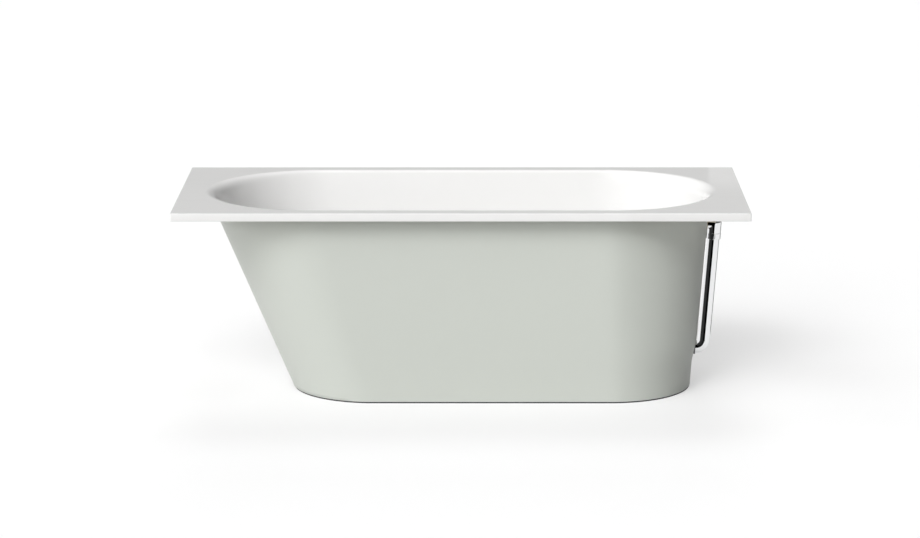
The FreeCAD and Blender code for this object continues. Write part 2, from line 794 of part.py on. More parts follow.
def slip_nut(mouth, out, nut_outer, washer_radius, height, bite):
    start = mouth - out * bite
    nut = rod(nut_outer, start, out, height)
    pocket = bite + slip_washer_thickness
    nut = nut.cut(rod(washer_radius + thread_gap, start, out, pocket))
    return nut.cut(rod(pipe_radius + hole_gap, start, out, height))


def make_tee_nuts():
    return group([slip_nut(mouth, out, slip_nut_radius, tee_radius, slip_nut_height,
                           slip_nut_bite)
                  for mouth, out in tee_mouths()])


def make_tee_washers():
    return group([slip_washer(mouth, out, tee_radius) for mouth, out in tee_mouths()])


def make_tailpiece():
    end = vec(tee_x, 0, waste_axis_z - tee_drop + socket_depth - tailpiece_length)
    bore = pipe_radius - pipe_wall
    tube = ring(pipe_radius, bore, end, Z_AXIS, tailpiece_length)
    stop = end + Z_AXIS * tailpiece_free_length
    bead = ring(pipe_radius + tailpiece_bead, bore, stop, Z_AXIS, tailpiece_bead_height)
    return union([tube, bead])


# --- overflow pipe ---------------------------------------------------------------------------

def on_wall(x, z):
    """World point of local x and z in the overflow's leaning frame."""
    return overflow_frame().multVec(vec(x, 0, z))


def downpipe_corner():
    """Where the leaning downpipe's axis meets the height of the waste pipe."""
    start = on_wall(downpipe_axis, 0.0)
    return vec(start.x - (start.z - waste_axis_z) * foot_slope, 0, waste_axis_z)


def pipe_entry_x():
    return skirt_foot(waste_axis_z)


def bend_path(start, corner, end, radius):
    """Two straight runs joined by a tangent arc."""
    first = (start - corner).normalize()
    second = (end - corner).normalize()
    opening = first.getAngle(second)
    tangent = radius / math.tan(opening / 2)
    bisector = (first + second).normalize()
    middle = corner + bisector * (radius / math.sin(opening / 2) - radius)
    arc_start = corner + first * tangent
    arc_end = corner + second * tangent
    return [
        Part.makeLine(start, arc_start),
        Part.Arc(arc_start, middle, arc_end).toShape(),
        Part.makeLine(arc_end, end),
    ]


def sweep(edges, radius):
    """Round bar along a path of lines and tangent arcs."""
    path = Part.Wire(edges)
    start = edges[0].Vertexes[0].Point
    direction = edges[0].tangentAt(edges[0].FirstParameter)
    section = Part.Wire([Part.makeCircle(radius, start, direction)])
    return path.makePipeShell([section], True, False)


def make_overflow_pipe():
    start = on_wall(downpipe_axis, elbow_socket - elbow_leg)
    end = vec(tee_x + tee_half_run - socket_depth, 0, waste_axis_z)
    path = bend_path(start, downpipe_corner(), end, downpipe_bend_radius)
    return sweep(path, pipe_radius).cut(sweep(path, pipe_radius - pipe_wall))


def make_pipe_grommet():
    start = vec(pipe_entry_x() + grommet_proud - grommet_length, 0, waste_axis_z)
    return ring(grommet_radius, pipe_radius, start, X_AXIS, grommet_length)


# --- overflow fitting ------------------------------------------------------------------------

def make_overflow_body():
    start = vec(body_flange_start, 0, 0)
    flange = rod(overflow_flange_radius, start, X_AXIS, overflow_flange_thickness)
    tail = rod(pipe_radius, start, X_AXIS, body_end - body_flange_start)
    body = flange.fuse(tail)
    body = body.cut(rod(overflow_bore_radius, start, X_AXIS, body_end - body_flange_start))
    for side in (-1, 1):
        body = body.cut(rod(face_screw_radius, vec(body_flange_start, side * face_screw_offset, 0),
                            X_AXIS, overflow_flange_thickness))
    return lean(body)


def make_overflow_grommet():
    start = vec(skirt_inside, 0, 0)
    return lean(ring(grommet_radius, pipe_radius, start, X_AXIS, skirt_outside - skirt_inside))


def make_outer_gasket(basin):
    start = vec(sheet / 2, 0, 0)
    washer = lean(ring(overflow_flange_radius, overflow_hole_radius + gasket_inset, start, X_AXIS,
                       body_flange_start - sheet / 2))
    return washer.cut(basin)


def make_inner_gasket(basin):
    start = vec(-face_gasket_thickness, 0, 0)
    inner = overflow_hole_radius + running_gap
    washer = lean(ring(faceplate_radius, inner, start, X_AXIS, face_gasket_thickness + sheet / 4))
    return washer.cut(basin)


def make_faceplate():
    start = vec(face_start, 0, 0)
    plate = rod(faceplate_radius, start, X_AXIS, faceplate_thickness)
    hub = rod(spindle_hub_radius, start, X_AXIS, spindle_hub_length)
    body = plate.fuse(hub)
    body = body.cut(rod(spindle_radius + running_gap, start, X_AXIS, spindle_hub_length))
    for side in (-1, 1):
        screw = rod(face_screw_radius + hole_gap, vec(face_start, side * face_screw_offset, 0),
                    X_AXIS, faceplate_thickness)
        body = body.cut(screw)
        for turn in (-face_slot_spread, 0, face_slot_spread):
            slot = rod(face_slot_radius, vec(face_start, 0, side * face_slot_offset),
                       X_AXIS, faceplate_thickness)
            slot.rotate(vec(0, 0, 0), X_AXIS, turn)
            body = body.cut(slot)
    return lean(body)


def make_face_screws():
    screws = []
    length = body_flange_start + overflow_flange_thickness - face_start
    for side in (-1, 1):
        start = vec(face_start, side * face_screw_offset, 0)
        head = rod(2 * face_screw_radius, start - X_AXIS * face_screw_radius, X_AXIS,
                   face_screw_radius)
        screws.append(union([head, rod(face_screw_radius, start, X_AXIS, length)]))
    return lean(group(screws))


def make_knob():
    start = vec(knob_back - knob_thickness, 0, 0)
    disc = rod(knob_radius, start, X_AXIS, knob_thickness)
    front = [e for e in disc.Edges if e.BoundBox.XMax < start.x + knob_rim_round and e.Closed]
    disc = disc.makeFillet(knob_rim_round, front)
    recess_start = vec(knob_back - knob_recess_depth, 0, 0)
    recess = ring(knob_radius - knob_rim_round, spindle_hub_radius, recess_start, X_AXIS,
                  knob_recess_depth)
    disc = disc.cut(recess)
    for i in range(knob_grip_count):
        centre = knob_radius + knob_grip_radius - knob_grip_depth
        notch = rod(knob_grip_radius, vec(start.x, 0, centre), X_AXIS, knob_thickness)
        notch.rotate(vec(0, 0, 0), X_AXIS, 360 / knob_grip_count * i)
        disc = disc.cut(notch)
    return lean(disc.cut(rod(spindle_radius, recess_start, X_AXIS, knob_recess_depth)))


def make_spindle():
    start = vec(knob_back - knob_recess_depth, 0, 0)
    length = crank_start + crank_thickness - start.x
    return lean(rod(spindle_radius, start, X_AXIS, length))


def make_crank():
    start = vec(crank_start, 0, 0)
    hub = rod(spindle_hub_radius, start, X_AXIS, crank_thickness)
    tip = rod(crank_radius, vec(crank_start, 0, crank_length), X_AXIS, crank_thickness)
    arm = block(crank_start, crank_start + crank_thickness, -crank_radius, crank_radius,
                0, crank_length)
    body = union([hub, tip, arm])
    return lean(body.cut(rod(spindle_radius, start, X_AXIS, crank_thickness)))


def make_cable_guide():
    start = vec(guide_start, 0, 0)
    disc = rod(overflow_bore_radius, start, X_AXIS, guide_thickness)
    for i in range(guide_slot_count):
        slot = rod(guide_slot_radius, vec(guide_start, 0, guide_slot_offset), X_AXIS,
                   guide_thickness)
        slot.rotate(vec(0, 0, 0), X_AXIS, 360 / guide_slot_count * i)
        disc = disc.cut(slot)
    return lean(disc.cut(rod(cable_radius, start, X_AXIS, guide_thickness)))


def make_elbow():
    corner = vec(downpipe_axis, 0, 0)
    down = vec(0, 0, -1)
    start = vec(elbow_start, 0, 0)
    outer = rod(elbow_radius, start, X_AXIS, downpipe_axis - elbow_start)
    outer = outer.fuse(Part.makeSphere(elbow_radius, corner))
    outer = outer.fuse(rod(elbow_radius, corner, down, elbow_leg))
    body = outer.cut(rod(overflow_bore_radius, start, X_AXIS, downpipe_axis - elbow_start))
    body = body.cut(Part.makeSphere(overflow_bore_radius, corner))
    body = body.cut(rod(overflow_bore_radius, corner, down, elbow_leg))
    body = body.cut(rod(pipe_radius, start, X_AXIS, body_end - elbow_start))
    mouth = corner + down * (elbow_leg - elbow_socket)
    body = body.cut(rod(pipe_radius, mouth, down, elbow_socket))
    return lean(body)


def elbow_mouth():
    return vec(downpipe_axis, 0, -elbow_leg)


def make_elbow_washer():
    return lean(slip_washer(elbow_mouth(), vec(0, 0, -1), elbow_washer_radius))


def make_elbow_nut():
    return lean(slip_nut(elbow_mouth(), vec(0, 0, -1), elbow_nut_radius, elbow_washer_radius,
                         elbow_nut_height, 0.0))


def make_pull_cable():
    """Sheathed cable: through the elbow, down the pipe, through the tee to the lift lever."""
    start = on_wall(guide_start, 0.0)
    top_corner = on_wall(downpipe_axis, 0.0)
    low_corner = downpipe_corner()
    middle = (top_corner + low_corner) * 0.5
    end = vec(lever_x + lever_nose_radius + cable_end_gap, 0, waste_axis_z)
    first = bend_path(start, top_corner, middle, cable_elbow_radius)
    second = bend_path(middle, low_corner, end, downpipe_bend_radius)
    return sweep(first + second, cable_radius)


# --- writing the pieces ----------------------------------------------------------------------

def write(name, shape):
    shape.exportStep(os.path.join("parts", name + ".step"))
    solids = shape.Solids
    box = shape.BoundBox
    state = "ok" if shape.isValid() else "INVALID"
    print("%-22s %s solids %d volume %.0f  x %.1f %.1f  y %.1f %.1f  z %.1f %.1f" % (
        name, state, len(solids), shape.Volume, box.XMin, box.XMax, box.YMin, box.YMax,
        box.ZMin, box.ZMax))


def main():
    os.makedirs("parts", exist_ok=True)
    basin = make_basin()
    write("basin", basin)
    write("base_board", make_base_board())
    write("rim_batten_front", make_side_batten(-1))
    write("rim_batten_back", make_side_batten(1))
    write("rim_batten_head", make_end_batten(-1))
    write("rim_batten_foot", make_end_batten(1))
    write("outer_skirt", make_outer_skirt())
    write("skirt_screws", make_skirt_screws())
    write("floor_seal", make_floor_seal())
    write("frame_rail_front", make_rail(-1))
    write("frame_rail_back", make_rail(1))
    write("board_screws", make_board_screws())
    write("leg_channel_head", make_channel(channel_head_x))
    write("leg_channel_foot", make_channel(channel_foot_x))
    write("channel_bolts", make_channel_bolts())
    write("channel_nuts", make_channel_nuts())
    names = ("head_front", "head_back", "foot_front", "foot_back")
    for name, (x, y) in zip(names, foot_places()):
        write("foot_pad_" + name, make_pad(x, y))
        write("foot_stud_" + name, make_stud(x, y))
    write("foot_nuts", make_foot_nuts(rail_underside))
    write("foot_lock_nuts", make_foot_nuts(rail_underside - channel_wall - nut_height))
    write("drain_flange", make_drain_flange())
    write("drain_gasket", make_drain_gasket())
    write("waste_shoe", make_waste_shoe())
    write("shoe_gasket", make_shoe_gasket())
    write("plug_cap", make_plug_cap())
    write("plug_seal", make_plug_seal())
    write("plug_stem", make_plug_stem())
    write("lift_lever", make_lift_lever())
    write("lever_pin", make_lever_pin())
    write("waste_tee", make_tee())
    write("tee_slip_nuts", make_tee_nuts())
    write("tee_slip_washers", make_tee_washers())
    write("tailpiece", make_tailpiece())
    write("overflow_pipe", make_overflow_pipe())
    write("pipe_grommet", make_pipe_grommet())
    write("overflow_elbow", make_elbow())
    write("elbow_slip_nut", make_elbow_nut())
    write("elbow_slip_washer", make_elbow_washer())
    write("overflow_body", make_overflow_body())
    write("overflow_grommet", make_overflow_grommet())
    write("overflow_gasket_outer", make_outer_gasket(basin))
    write("overflow_gasket_inner", make_inner_gasket(basin))
    write("overflow_faceplate", make_faceplate())
    write("faceplate_screws", make_face_screws())
    write("overflow_knob", make_knob())
    write("knob_spindle", make_spindle())
    write("cable_crank", make_crank())
    write("cable_guide", make_cable_guide())
    write("pull_cable", make_pull_cable())


main()
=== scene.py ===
import json
import math

import bmesh
import bpy
from mathutils import Matrix, Vector


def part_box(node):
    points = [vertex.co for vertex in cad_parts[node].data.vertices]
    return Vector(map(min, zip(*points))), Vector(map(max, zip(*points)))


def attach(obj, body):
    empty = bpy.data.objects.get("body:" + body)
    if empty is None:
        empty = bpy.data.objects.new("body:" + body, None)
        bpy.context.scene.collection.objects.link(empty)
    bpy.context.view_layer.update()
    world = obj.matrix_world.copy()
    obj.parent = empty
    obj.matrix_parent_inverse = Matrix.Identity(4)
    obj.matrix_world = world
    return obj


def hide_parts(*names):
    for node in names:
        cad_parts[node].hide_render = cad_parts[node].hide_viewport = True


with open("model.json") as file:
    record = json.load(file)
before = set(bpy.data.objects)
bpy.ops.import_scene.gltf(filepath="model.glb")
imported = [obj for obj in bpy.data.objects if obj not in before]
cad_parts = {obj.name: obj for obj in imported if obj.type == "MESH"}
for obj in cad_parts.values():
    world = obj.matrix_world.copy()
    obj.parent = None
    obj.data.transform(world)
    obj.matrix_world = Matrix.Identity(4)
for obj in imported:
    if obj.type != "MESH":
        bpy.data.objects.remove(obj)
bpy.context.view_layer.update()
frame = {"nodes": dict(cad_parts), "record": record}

bl_info = {
    "name": "Alcove bathtub",
    "version": (1, 0, 0),
    "blender": (4, 5, 0),
    "location": "View3D > Sidebar > Bathtub",
    "description": "Dresses the bathtub's solids with modelled sheet, pipework and finishes",
    "category": "Object",
}

FINISH_OF = {part["node"]: part["material_slot"] for part in frame["record"]["subparts"]}
STILL = "tub"


# --- what a user would change ----------------------------------------------------------------

def length(name, description, default):
    return bpy.props.FloatProperty(
        name=name, description=description, default=default, unit="LENGTH", precision=4
    )


def angle(name, description, degrees):
    return bpy.props.FloatProperty(
        name=name, description=description, default=math.radians(degrees), unit="ROTATION"
    )


def count(name, description, default):
    return bpy.props.IntProperty(name=name, description=description, default=default, min=3)


def colour(name, description, default):
    return bpy.props.FloatVectorProperty(
        name=name, description=description, default=default, size=3, subtype="COLOR",
        min=0.0, max=1.0,
    )


def share(name, description, default):
    return bpy.props.FloatProperty(
        name=name, description=description, default=default, min=0.0, max=1.0,
        subtype="FACTOR",
    )


def strength(name, description, default):
    return bpy.props.FloatProperty(name=name, description=description, default=default, min=0.0)


class BasinSizes(bpy.types.PropertyGroup):
    rim_length: length("Rim length", "Rim from the head end to the foot end", 1.700)
    rim_width: length("Rim width", "Rim from front to back", 0.750)
    rim_height: length("Rim height", "Top of the rim above the floor", 0.605)
    end_margin: length("End margin", "Flat rim beyond each end of the opening", 0.075)
    side_margin: length("Side margin", "Flat rim along each side of the opening", 0.045)
    edge_height: length("Edge height", "Depth of the rim's turned-down edge", 0.024)
    edge_round: length("Edge rounding", "Rounding along the rim's upper edge", 0.0015)
    lip_round: length("Lip rounding", "Rounding under the turned-down edge", 0.0008)
    corner_round: length("Corner rounding", "Upright corners of the rim", 0.004)
    sheet: length("Sheet", "Thickness of the basin's sheet", 0.005)
    side_roll: length("Side roll", "Roll from the rim into the long walls", 0.010)
    end_roll: length("End roll", "Roll from the rim into the end walls", 0.038)
    depth: length("Depth", "Floor of the basin below the rim", 0.440)
    head_lean: angle("Head lean", "Backrest from the vertical", 25.5)
    foot_lean: angle("Foot lean", "Foot wall from the vertical", 4.3)
    side_lean: angle("Side lean", "Long walls from the vertical", 9.0)
    floor_round: length("Floor rounding", "Rounding between walls and floor", 0.070)


class SkirtSizes(bpy.types.PropertyGroup):
    thickness: length("Thickness", "Skirt sheet", 0.003)
    head_gap: length("Head gap", "Between basin and skirt at the head end", 0.0123)
    side_gap: length("Side gap", "Between basin and skirt along the sides", 0.0048)
    foot_gap: length("Foot gap", "Between basin and skirt at the foot end", 0.0068)
    head_lean: angle("Head lean", "Skirt's head end from the vertical", 22.98)
    side_lean: angle("Side lean", "Skirt's sides from the vertical", 7.9)
    waist: length("Waist", "Height where the foot end starts to step in", 0.150)
    ankle: length("Ankle", "Height where the step is done", 0.078)
    step: length("Step", "How far the foot end steps in", 0.009)
    flange: length("Flange", "Out-turned flange under the rim", 0.024)
    flange_round: length("Flange rounding", "Between wall and flange", 0.003)
    bevel: length("Bevel", "Edges of the skirt's sheet", 0.0006)
    hole_room: length("Hole room", "Room round the pipe in the skirt's holes", 0.003)
    drop: length("Drop", "Top of the flange below the basin's sheet", 0.016)
    seal_height: length("Seal height", "Rubber seal on the floor", 0.004)
    seal_inset: length("Seal inset", "Seal behind the face of the skirt", 0.001)
    seal_width: length("Seal width", "Seal from front to back", 0.008)


class WasteSizes(bpy.types.PropertyGroup):
    drain_inset: length("Drain inset", "Drain from the foot end of the opening", 0.325)
    drain_radius: length("Drain radius", "Thread of the drain fitting", 0.024)
    drain_room: length("Drain room", "Between that thread and its hole", 0.001)
    pipe_radius: length("Pipe radius", "Outside of the overflow pipe", 0.01905)
    pipe_wall: length("Pipe wall", "Wall of the overflow pipe", 0.0014)
    pipe_drop: length("Pipe drop", "Low run of the pipe below the basin's floor", 0.050)
    pipe_end: length("Pipe end", "End of the low run beyond the drain's middle", 0.166)
    throat: length("Throat", "Inner radius of the pipe's low bend", 0.00495)
    overflow_drop: length("Overflow drop", "Overflow below the top of the rim", 0.100)
    overflow_hole: length("Overflow hole", "Radius of the hole in the foot wall", 0.0261)
    elbow_wall: length("Elbow wall", "Elbow's outside beyond the pipe", 0.00245)
    elbow_gap: length("Elbow gap", "Between skirt and elbow", 0.0013)
    elbow_skirt: length("Elbow skirt", "Straight end of the elbow", 0.0085)
    socket: length("Socket", "How far the pipe goes into the elbow", 0.009)
    nut_height: length("Nut height", "Slip nut under the elbow", 0.019)
    nut_wall: length("Nut wall", "Slip nut's outside beyond the elbow", 0.0008)
    nut_gap: length("Nut gap", "Between skirt and slip nut", 0.00055)
    knob_radius: length("Knob radius", "Overflow knob", 0.035)
    knob_thickness: length("Knob thickness", "Overflow knob from back to face", 0.011)
    knob_stand: length("Knob stand", "Back of the knob inside the foot wall", 0.0105)
    grips: count("Grips", "Finger grips round the knob", 3)


class FootSizes(bpy.types.PropertyGroup):
    stud_radius: length("Stud radius", "Threaded studs", 0.006)
    pitch: length("Pitch", "Thread pitch of the studs", 0.00175)
    thread_depth: length("Thread depth", "Depth of the thread", 0.0009)
    collar_rise: length("Collar rise", "Collar above the stud's lower end", 0.010)
    collar_height: length("Collar height", "Collar from bottom to top", 0.007)
    collar_reach: length("Collar reach", "Corners of the collar beyond the stud", 0.004)
    pad_radius: length("Pad radius", "Foot pads", 0.025)
    nut_reach: length("Nut reach", "Corners of the nuts from the stud's axis", 0.0104)


class Finishes(bpy.types.PropertyGroup):
    acrylic: colour("Acrylic", "White sanitary acrylic", (0.750, 0.747, 0.740))
    acrylic_gloss: share("Acrylic roughness", "Polish of the white sheet", 0.16)
    lacquer: colour("Lacquer", "Sage grey-green of the skirt", (0.556, 0.580, 0.537))
    lacquer_gloss: share("Lacquer roughness", "Sheen of the skirt", 0.42)
    chrome: colour("Chrome", "Plated pipe and fittings", (0.845, 0.85, 0.855))
    chrome_gloss: share("Chrome roughness", "Polish of the plating", 0.045)
    zinc: colour("Zinc", "Plated steel of studs, nuts and screws", (0.66, 0.67, 0.69))
    cradle: colour("Cradle", "Galvanised rails and channels", (0.58, 0.60, 0.62))
    brass: colour("Brass", "Cast brass fittings", (0.66, 0.49, 0.22))
    # Near-black rubber of the floor seal, which also stands in for the contact shadow under the
    # skirt: partly painted shade.
    rubber: colour("Rubber", "Floor seal and grommets", (0.022, 0.022, 0.024))
    grey_rubber: colour("Grey rubber", "Slip washers", (0.17, 0.175, 0.18))
    board: colour("Board", "Chipboard under the basin", (0.46, 0.33, 0.20))
    timber: colour("Timber", "Battens under the rim", (0.72, 0.63, 0.49))
    acetal: colour("Acetal", "Moulded crank and guide", (0.82, 0.81, 0.77))
    sheath: colour("Sheath", "Cable sheath", (0.03, 0.03, 0.032))
    nylon: colour("Nylon", "Foot pads", (0.045, 0.046, 0.048))


class Studio(bpy.types.PropertyGroup):
    key: strength("Key", "High lamp at the front left", 1.04)
    key_low: strength("Low key", "The same lamp's lower half", 0.90)
    fill: strength("Fill", "High lamp over the camera", 0.96)
    fill_low: strength("Low fill", "Lamp at floor level by the camera", 0.36)
    top: strength("Top", "Lamp almost overhead", 0.30)
    side: strength("Side", "High lamp further left", 0.52)
    side_low: strength("Low side", "Lamp at floor level at the head end", 0.74)
    rear: strength("Rear", "High lamp behind the head end", 0.36)
    back: strength("Back", "Lamp behind", 0.62)
    back_high: strength("High back", "Lamp above and behind", 0.82)
    spread: angle("Spread", "Width of each lamp as the tub sees it", 24.0)
    air: share("Air", "Level of the surroundings in reflections", 0.14)
    floor_lift: share("Floor lift", "Whiteness added to the floor that is seen", 0.44)
    floor_grey: share("Floor grey", "The floor in light and shade", 0.47)
    floor_reach: length("Floor reach", "Radius of the floor", 90.0)
    # Cards below glow and show only in the pipe's reflections: painted reflections.
    card_reach: length("Card reach", "Upright cards from the overflow pipe", 0.55)
    card_height: length("Card height", "Height of those cards", 0.7)
    side_reach: length("Side reach", "Side cards from the middle of the foot end", 0.26)
    strip: share("Strip", "White card's half width against the pipe's radius", 0.8)
    focal: bpy.props.FloatProperty(
        name="Focal length", description="Camera lens", default=126.34, unit="CAMERA"
    )
    sensor: bpy.props.FloatProperty(
        name="Sensor", description="Width of the camera's sensor", default=36.0, unit="CAMERA"
    )
    sight: length("Sight", "How far the camera sees", 200.0)
    stand: bpy.props.FloatVectorProperty(
        name="Stand", description="Where the camera stands", default=(0.055, -9.63, 2.435),
        size=3, unit="LENGTH",
    )
    pitch: angle("Pitch", "Camera below the horizon", 12.169)
    yaw: angle("Yaw", "Camera towards the foot end", -0.353)
    roll: angle("Roll", "Camera about its own axis", 0.079)


# --- shader maths ----------------------------------------------------------------------------

class Wire:
    """One output of a shader node, so that shader maths reads as an expression."""

    def __init__(self, shader, socket):
        self.shader = shader
        self.socket = socket

    def join(self, operation, left, right):
        return self.shader.join(operation, left, right)

    def __add__(self, other):
        return self.join("ADD", self, other)

    def __radd__(self, other):
        return self.join("ADD", other, self)

    def __sub__(self, other):
        return self.join("SUBTRACT", self, other)

    def __rsub__(self, other):
        return self.join("SUBTRACT", other, self)

    def __mul__(self, other):
        return self.join("MULTIPLY", self, other)

    def __rmul__(self, other):
        return self.join("MULTIPLY", other, self)


class Shader:
    """The nodes of a material or of the world."""

    def __init__(self, owner, output="ShaderNodeOutputMaterial"):
        owner.use_nodes = True
        self.owner = owner
        self.tree = owner.node_tree
        self.tree.nodes.clear()
        self.output = output

    def place(self, socket, value):
        if isinstance(value, Wire):
            self.tree.links.new(value.socket, socket)
        else:
            socket.default_value = value

    def add(self, kind, settings, inputs, output=0):
        """New node of a kind, and the wire from its output, if it has one."""
        node = self.tree.nodes.new(kind)
        for name, value in settings.items():
            if name == "stops":
                self.grade(node.color_ramp, value)
            else:
                setattr(node, name, value)
        for name, value in inputs.items():
            self.place(node.inputs[name], value)
        return None if output is None else Wire(self, node.outputs[output])

    def join(self, operation, left, right):
        return self.add("ShaderNodeMath", {"operation": operation}, {0: left, 1: right})

    def grade(self, ramp, stops):
        while len(ramp.elements) < len(stops):
            ramp.elements.new(0.5)
        for element, (position, tint) in zip(ramp.elements, stops):
            element.position = position
            element.color = (*tint, 1.0)

    def ray(self, kind):
        return self.add("ShaderNodeLightPath", {}, {}, kind)

    def glow(self, strength, kind="ShaderNodeEmission"):
        return self.add(kind, {}, {"Color": (1.0, 1.0, 1.0, 1.0), "Strength": strength})

    def show(self, shader):
        self.add(self.output, {}, {"Surface": shader}, None)
        return self.owner

    def surface(self, **values):
        """Show a Principled surface with these values on its sockets."""
        inputs = {name.replace("_", " "): value for name, value in values.items()}
        return self.show(self.add("ShaderNodeBsdfPrincipled", {}, inputs))

    def where(self, stretch=(1.0, 1.0, 1.0)):
        place = self.add("ShaderNodeTexCoord", {}, {}, "Object")
        return self.add("ShaderNodeMapping", {}, {"Vector": place, "Scale": stretch})

    def noise(self, scale, detail=2.0, stretch=(1.0, 1.0, 1.0), roughness=0.5):
        return self.add("ShaderNodeTexNoise", {}, {
            "Vector": self.where(stretch), "Scale": scale, "Detail": detail,
            "Roughness": roughness,
        })

    def cells(self, scale):
        """A grey of its own for every cell."""
        tint = self.add("ShaderNodeTexVoronoi", {}, {
            "Vector": self.where(), "Scale": scale,
        }, "Color")
        return self.add("ShaderNodeRGBToBW", {}, {"Color": tint})

    def between(self, amount, first, second):
        return self.add("ShaderNodeMix", {"data_type": "RGBA"}, {
            "Factor": amount, 6: (*first, 1.0), 7: (*second, 1.0),
        }, 2)

    def ramp(self, amount, stops):
        return self.add("ShaderNodeValToRGB", {"stops": stops}, {"Fac": amount})

    def relief(self, height, distance, strength):
        return self.add("ShaderNodeBump", {}, {
            "Height": height, "Distance": distance, "Strength": strength,
        })


def tinted(base, factor):
    return tuple(min(1.0, channel * factor) for channel in base)


def new_shader(name):
    return Shader(bpy.data.materials.new(name))


def mottled(name, base, shades, spots, gloss, grain, relief, wear=None, **fixed):
    """Finish with faint spots of tone and polish over a fine grain; wear parts the two."""
    s = new_shader(name)
    pattern = s.noise(*spots)
    polish = pattern if wear is None else s.noise(*wear)
    return s.surface(
        Base_Color=s.between(pattern, tinted(base, shades[0]), tinted(base, shades[1])),
        Roughness=polish * gloss[1] + gloss[0],
        Normal=s.relief(s.noise(*grain), *relief),
        **fixed,
    )


def chrome(look):
    s = new_shader("chrome_plate")
    smear = s.noise(30.0, 5.0, (1.0, 1.0, 0.35), 0.65)
    return s.surface(
        Base_Color=s.between(smear, tinted(look.chrome, 0.97), look.chrome),
        Metallic=1.0,
        Roughness=smear * 0.05 + (look.chrome_gloss - 0.02),
    )


def galvanised(look):
    s = new_shader("galvanised_steel")
    spangle = s.cells(85.0)
    return s.surface(
        Base_Color=s.between(spangle, tinted(look.cradle, 0.78), tinted(look.cradle, 1.18)),
        Metallic=1.0,
        Roughness=spangle * 0.24 + 0.28,
        Normal=s.relief(s.noise(300.0, 3.0), 0.0001, 0.35),
    )


def chipboard(look):
    s = new_shader("chipboard")
    chips = s.cells(260.0)
    shades = ((0.0, 0.55), (0.35, 0.92), (0.7, 1.15), (1.0, 1.55))
    return s.surface(
        Base_Color=s.ramp(chips, [(stop, tinted(look.board, shade)) for stop, shade in shades]),
        Roughness=0.82,
        Normal=s.relief(chips, 0.00025, 0.5),
    )


def timber(name, base, stretch):
    s = new_shader(name)
    grain = s.noise(9.0, 6.0, stretch, 0.62)
    shades = ((0.3, 0.62), (0.48, 0.95), (0.7, 1.2))
    return s.surface(
        Base_Color=s.ramp(grain, [(stop, tinted(base, shade)) for stop, shade in shades]),
        Roughness=grain * 0.2 + 0.55,
        Normal=s.relief(s.noise(60.0, 2.0, stretch), 0.0003, 0.5),
    )


def rubber(name, base):
    return mottled(name, base, shades=(0.8, 1.7), spots=(60.0, 5.0), gloss=(0.6, 0.2),
                   grain=(1400.0,), relief=(0.00005, 0.6))


def moulded(name, base, gloss):
    return mottled(name, base, shades=(0.93, 1.05), spots=(40.0, 3.0), gloss=(gloss, 0.12),
                   grain=(1100.0,), relief=(0.00004, 0.5))


def make_finishes(look):
    return {
        "white_gloss": mottled(
            "white_acrylic", look.acrylic, shades=(0.988, 1.006), spots=(2.2, 3.0),
            gloss=(look.acrylic_gloss - 0.035, 0.07), grain=(5.0, 1.0), relief=(0.0009, 0.35),
            wear=(7.0, 5.0, (1.0, 3.0, 3.0), 0.6), IOR=1.49),
        "sage_satin": mottled(
            "sage_lacquer", look.lacquer, shades=(0.985, 1.012), spots=(1.7, 3.0),
            gloss=(look.lacquer_gloss - 0.03, 0.06), grain=(380.0, 2.0),
            relief=(0.00012, 0.25), wear=(26.0, 4.0), IOR=1.46),
        "plated": chrome(look),
        "zinc_steel": mottled(
            "zinc_plate", look.zinc, shades=(0.84, 1.06), spots=(140.0, 4.0),
            gloss=(0.2, 0.22), grain=(900.0,), relief=(0.00006, 0.4), Metallic=1.0),
        "cradle_steel": galvanised(look),
        "rough_brass": mottled(
            "cast_brass", look.brass, shades=(0.72, 1.08), spots=(45.0, 5.0),
            gloss=(0.22, 0.25), grain=(650.0, 3.0), relief=(0.00012, 0.45), Metallic=1.0),
        "dark_rubber": rubber("dark_rubber", look.rubber),
        "grey_rubber": rubber("grey_rubber", look.grey_rubber),
        "board": chipboard(look),
        "batten": timber("batten_timber_long", look.timber, (1.0, 22.0, 22.0)),
        "batten_across": timber("batten_timber_across", look.timber, (22.0, 1.0, 22.0)),
        "acetal": moulded("acetal", look.acetal, 0.3),
        "cable_sheath": moulded("cable_sheath", look.sheath, 0.42),
        "foot_plastic": moulded("foot_nylon", look.nylon, 0.38),
    }


FINISHES = {}
CROSS_BATTENS = ("rim_batten_head", "rim_batten_foot")
CREASE = 38.0
ROUND = 64
BEND_STEPS = 24
RUN_STEPS = 9
SIDEWAYS = Matrix.Rotation(math.pi / 2, 4, "Y")
BASIN_CUT = 0.020
SKIRT_CUT = 0.018


# --- mesh building ---------------------------------------------------------------------------

def band(bm, lower, upper):
    """Faces between two rings of vertices; a ring of one vertex is a pole."""
    size = max(len(lower), len(upper))
    for i in range(size):
        j = (i + 1) % size
        corners = [lower[i % len(lower)], lower[j % len(lower)],
                   upper[j % len(upper)], upper[i % len(upper)]]
        faces = []
        for corner in corners:
            if corner not in faces:
                faces.append(corner)
        bm.faces.new(faces)


def skin(rings, closed=False):
    """Mesh through rings of points; closed joins the last ring to the first."""
    bm = bmesh.new()
    made = [[bm.verts.new(point) for point in ring] for ring in rings]
    for lower, upper in zip(made, made[1:]):
        band(bm, lower, upper)
    if closed:
        band(bm, made[-1], made[0])
    bmesh.ops.recalc_face_normals(bm, faces=bm.faces)
    return bm


def join(meshes):
    """One mesh out of several."""
    whole = bmesh.new()
    for bm in meshes:
        part = bpy.data.meshes.new("part")
        bm.to_mesh(part)
        bm.free()
        whole.from_mesh(part)
        bpy.data.meshes.remove(part)
    return whole


def linked(name, data):
    made = bpy.data.objects.new(name, data)
    bpy.context.scene.collection.objects.link(made)
    return made


def new_object(name, bm):
    """Object in the scene that takes over a mesh."""
    mesh = bpy.data.meshes.new(name)
    bm.to_mesh(mesh)
    bm.free()
    return linked(name, mesh)


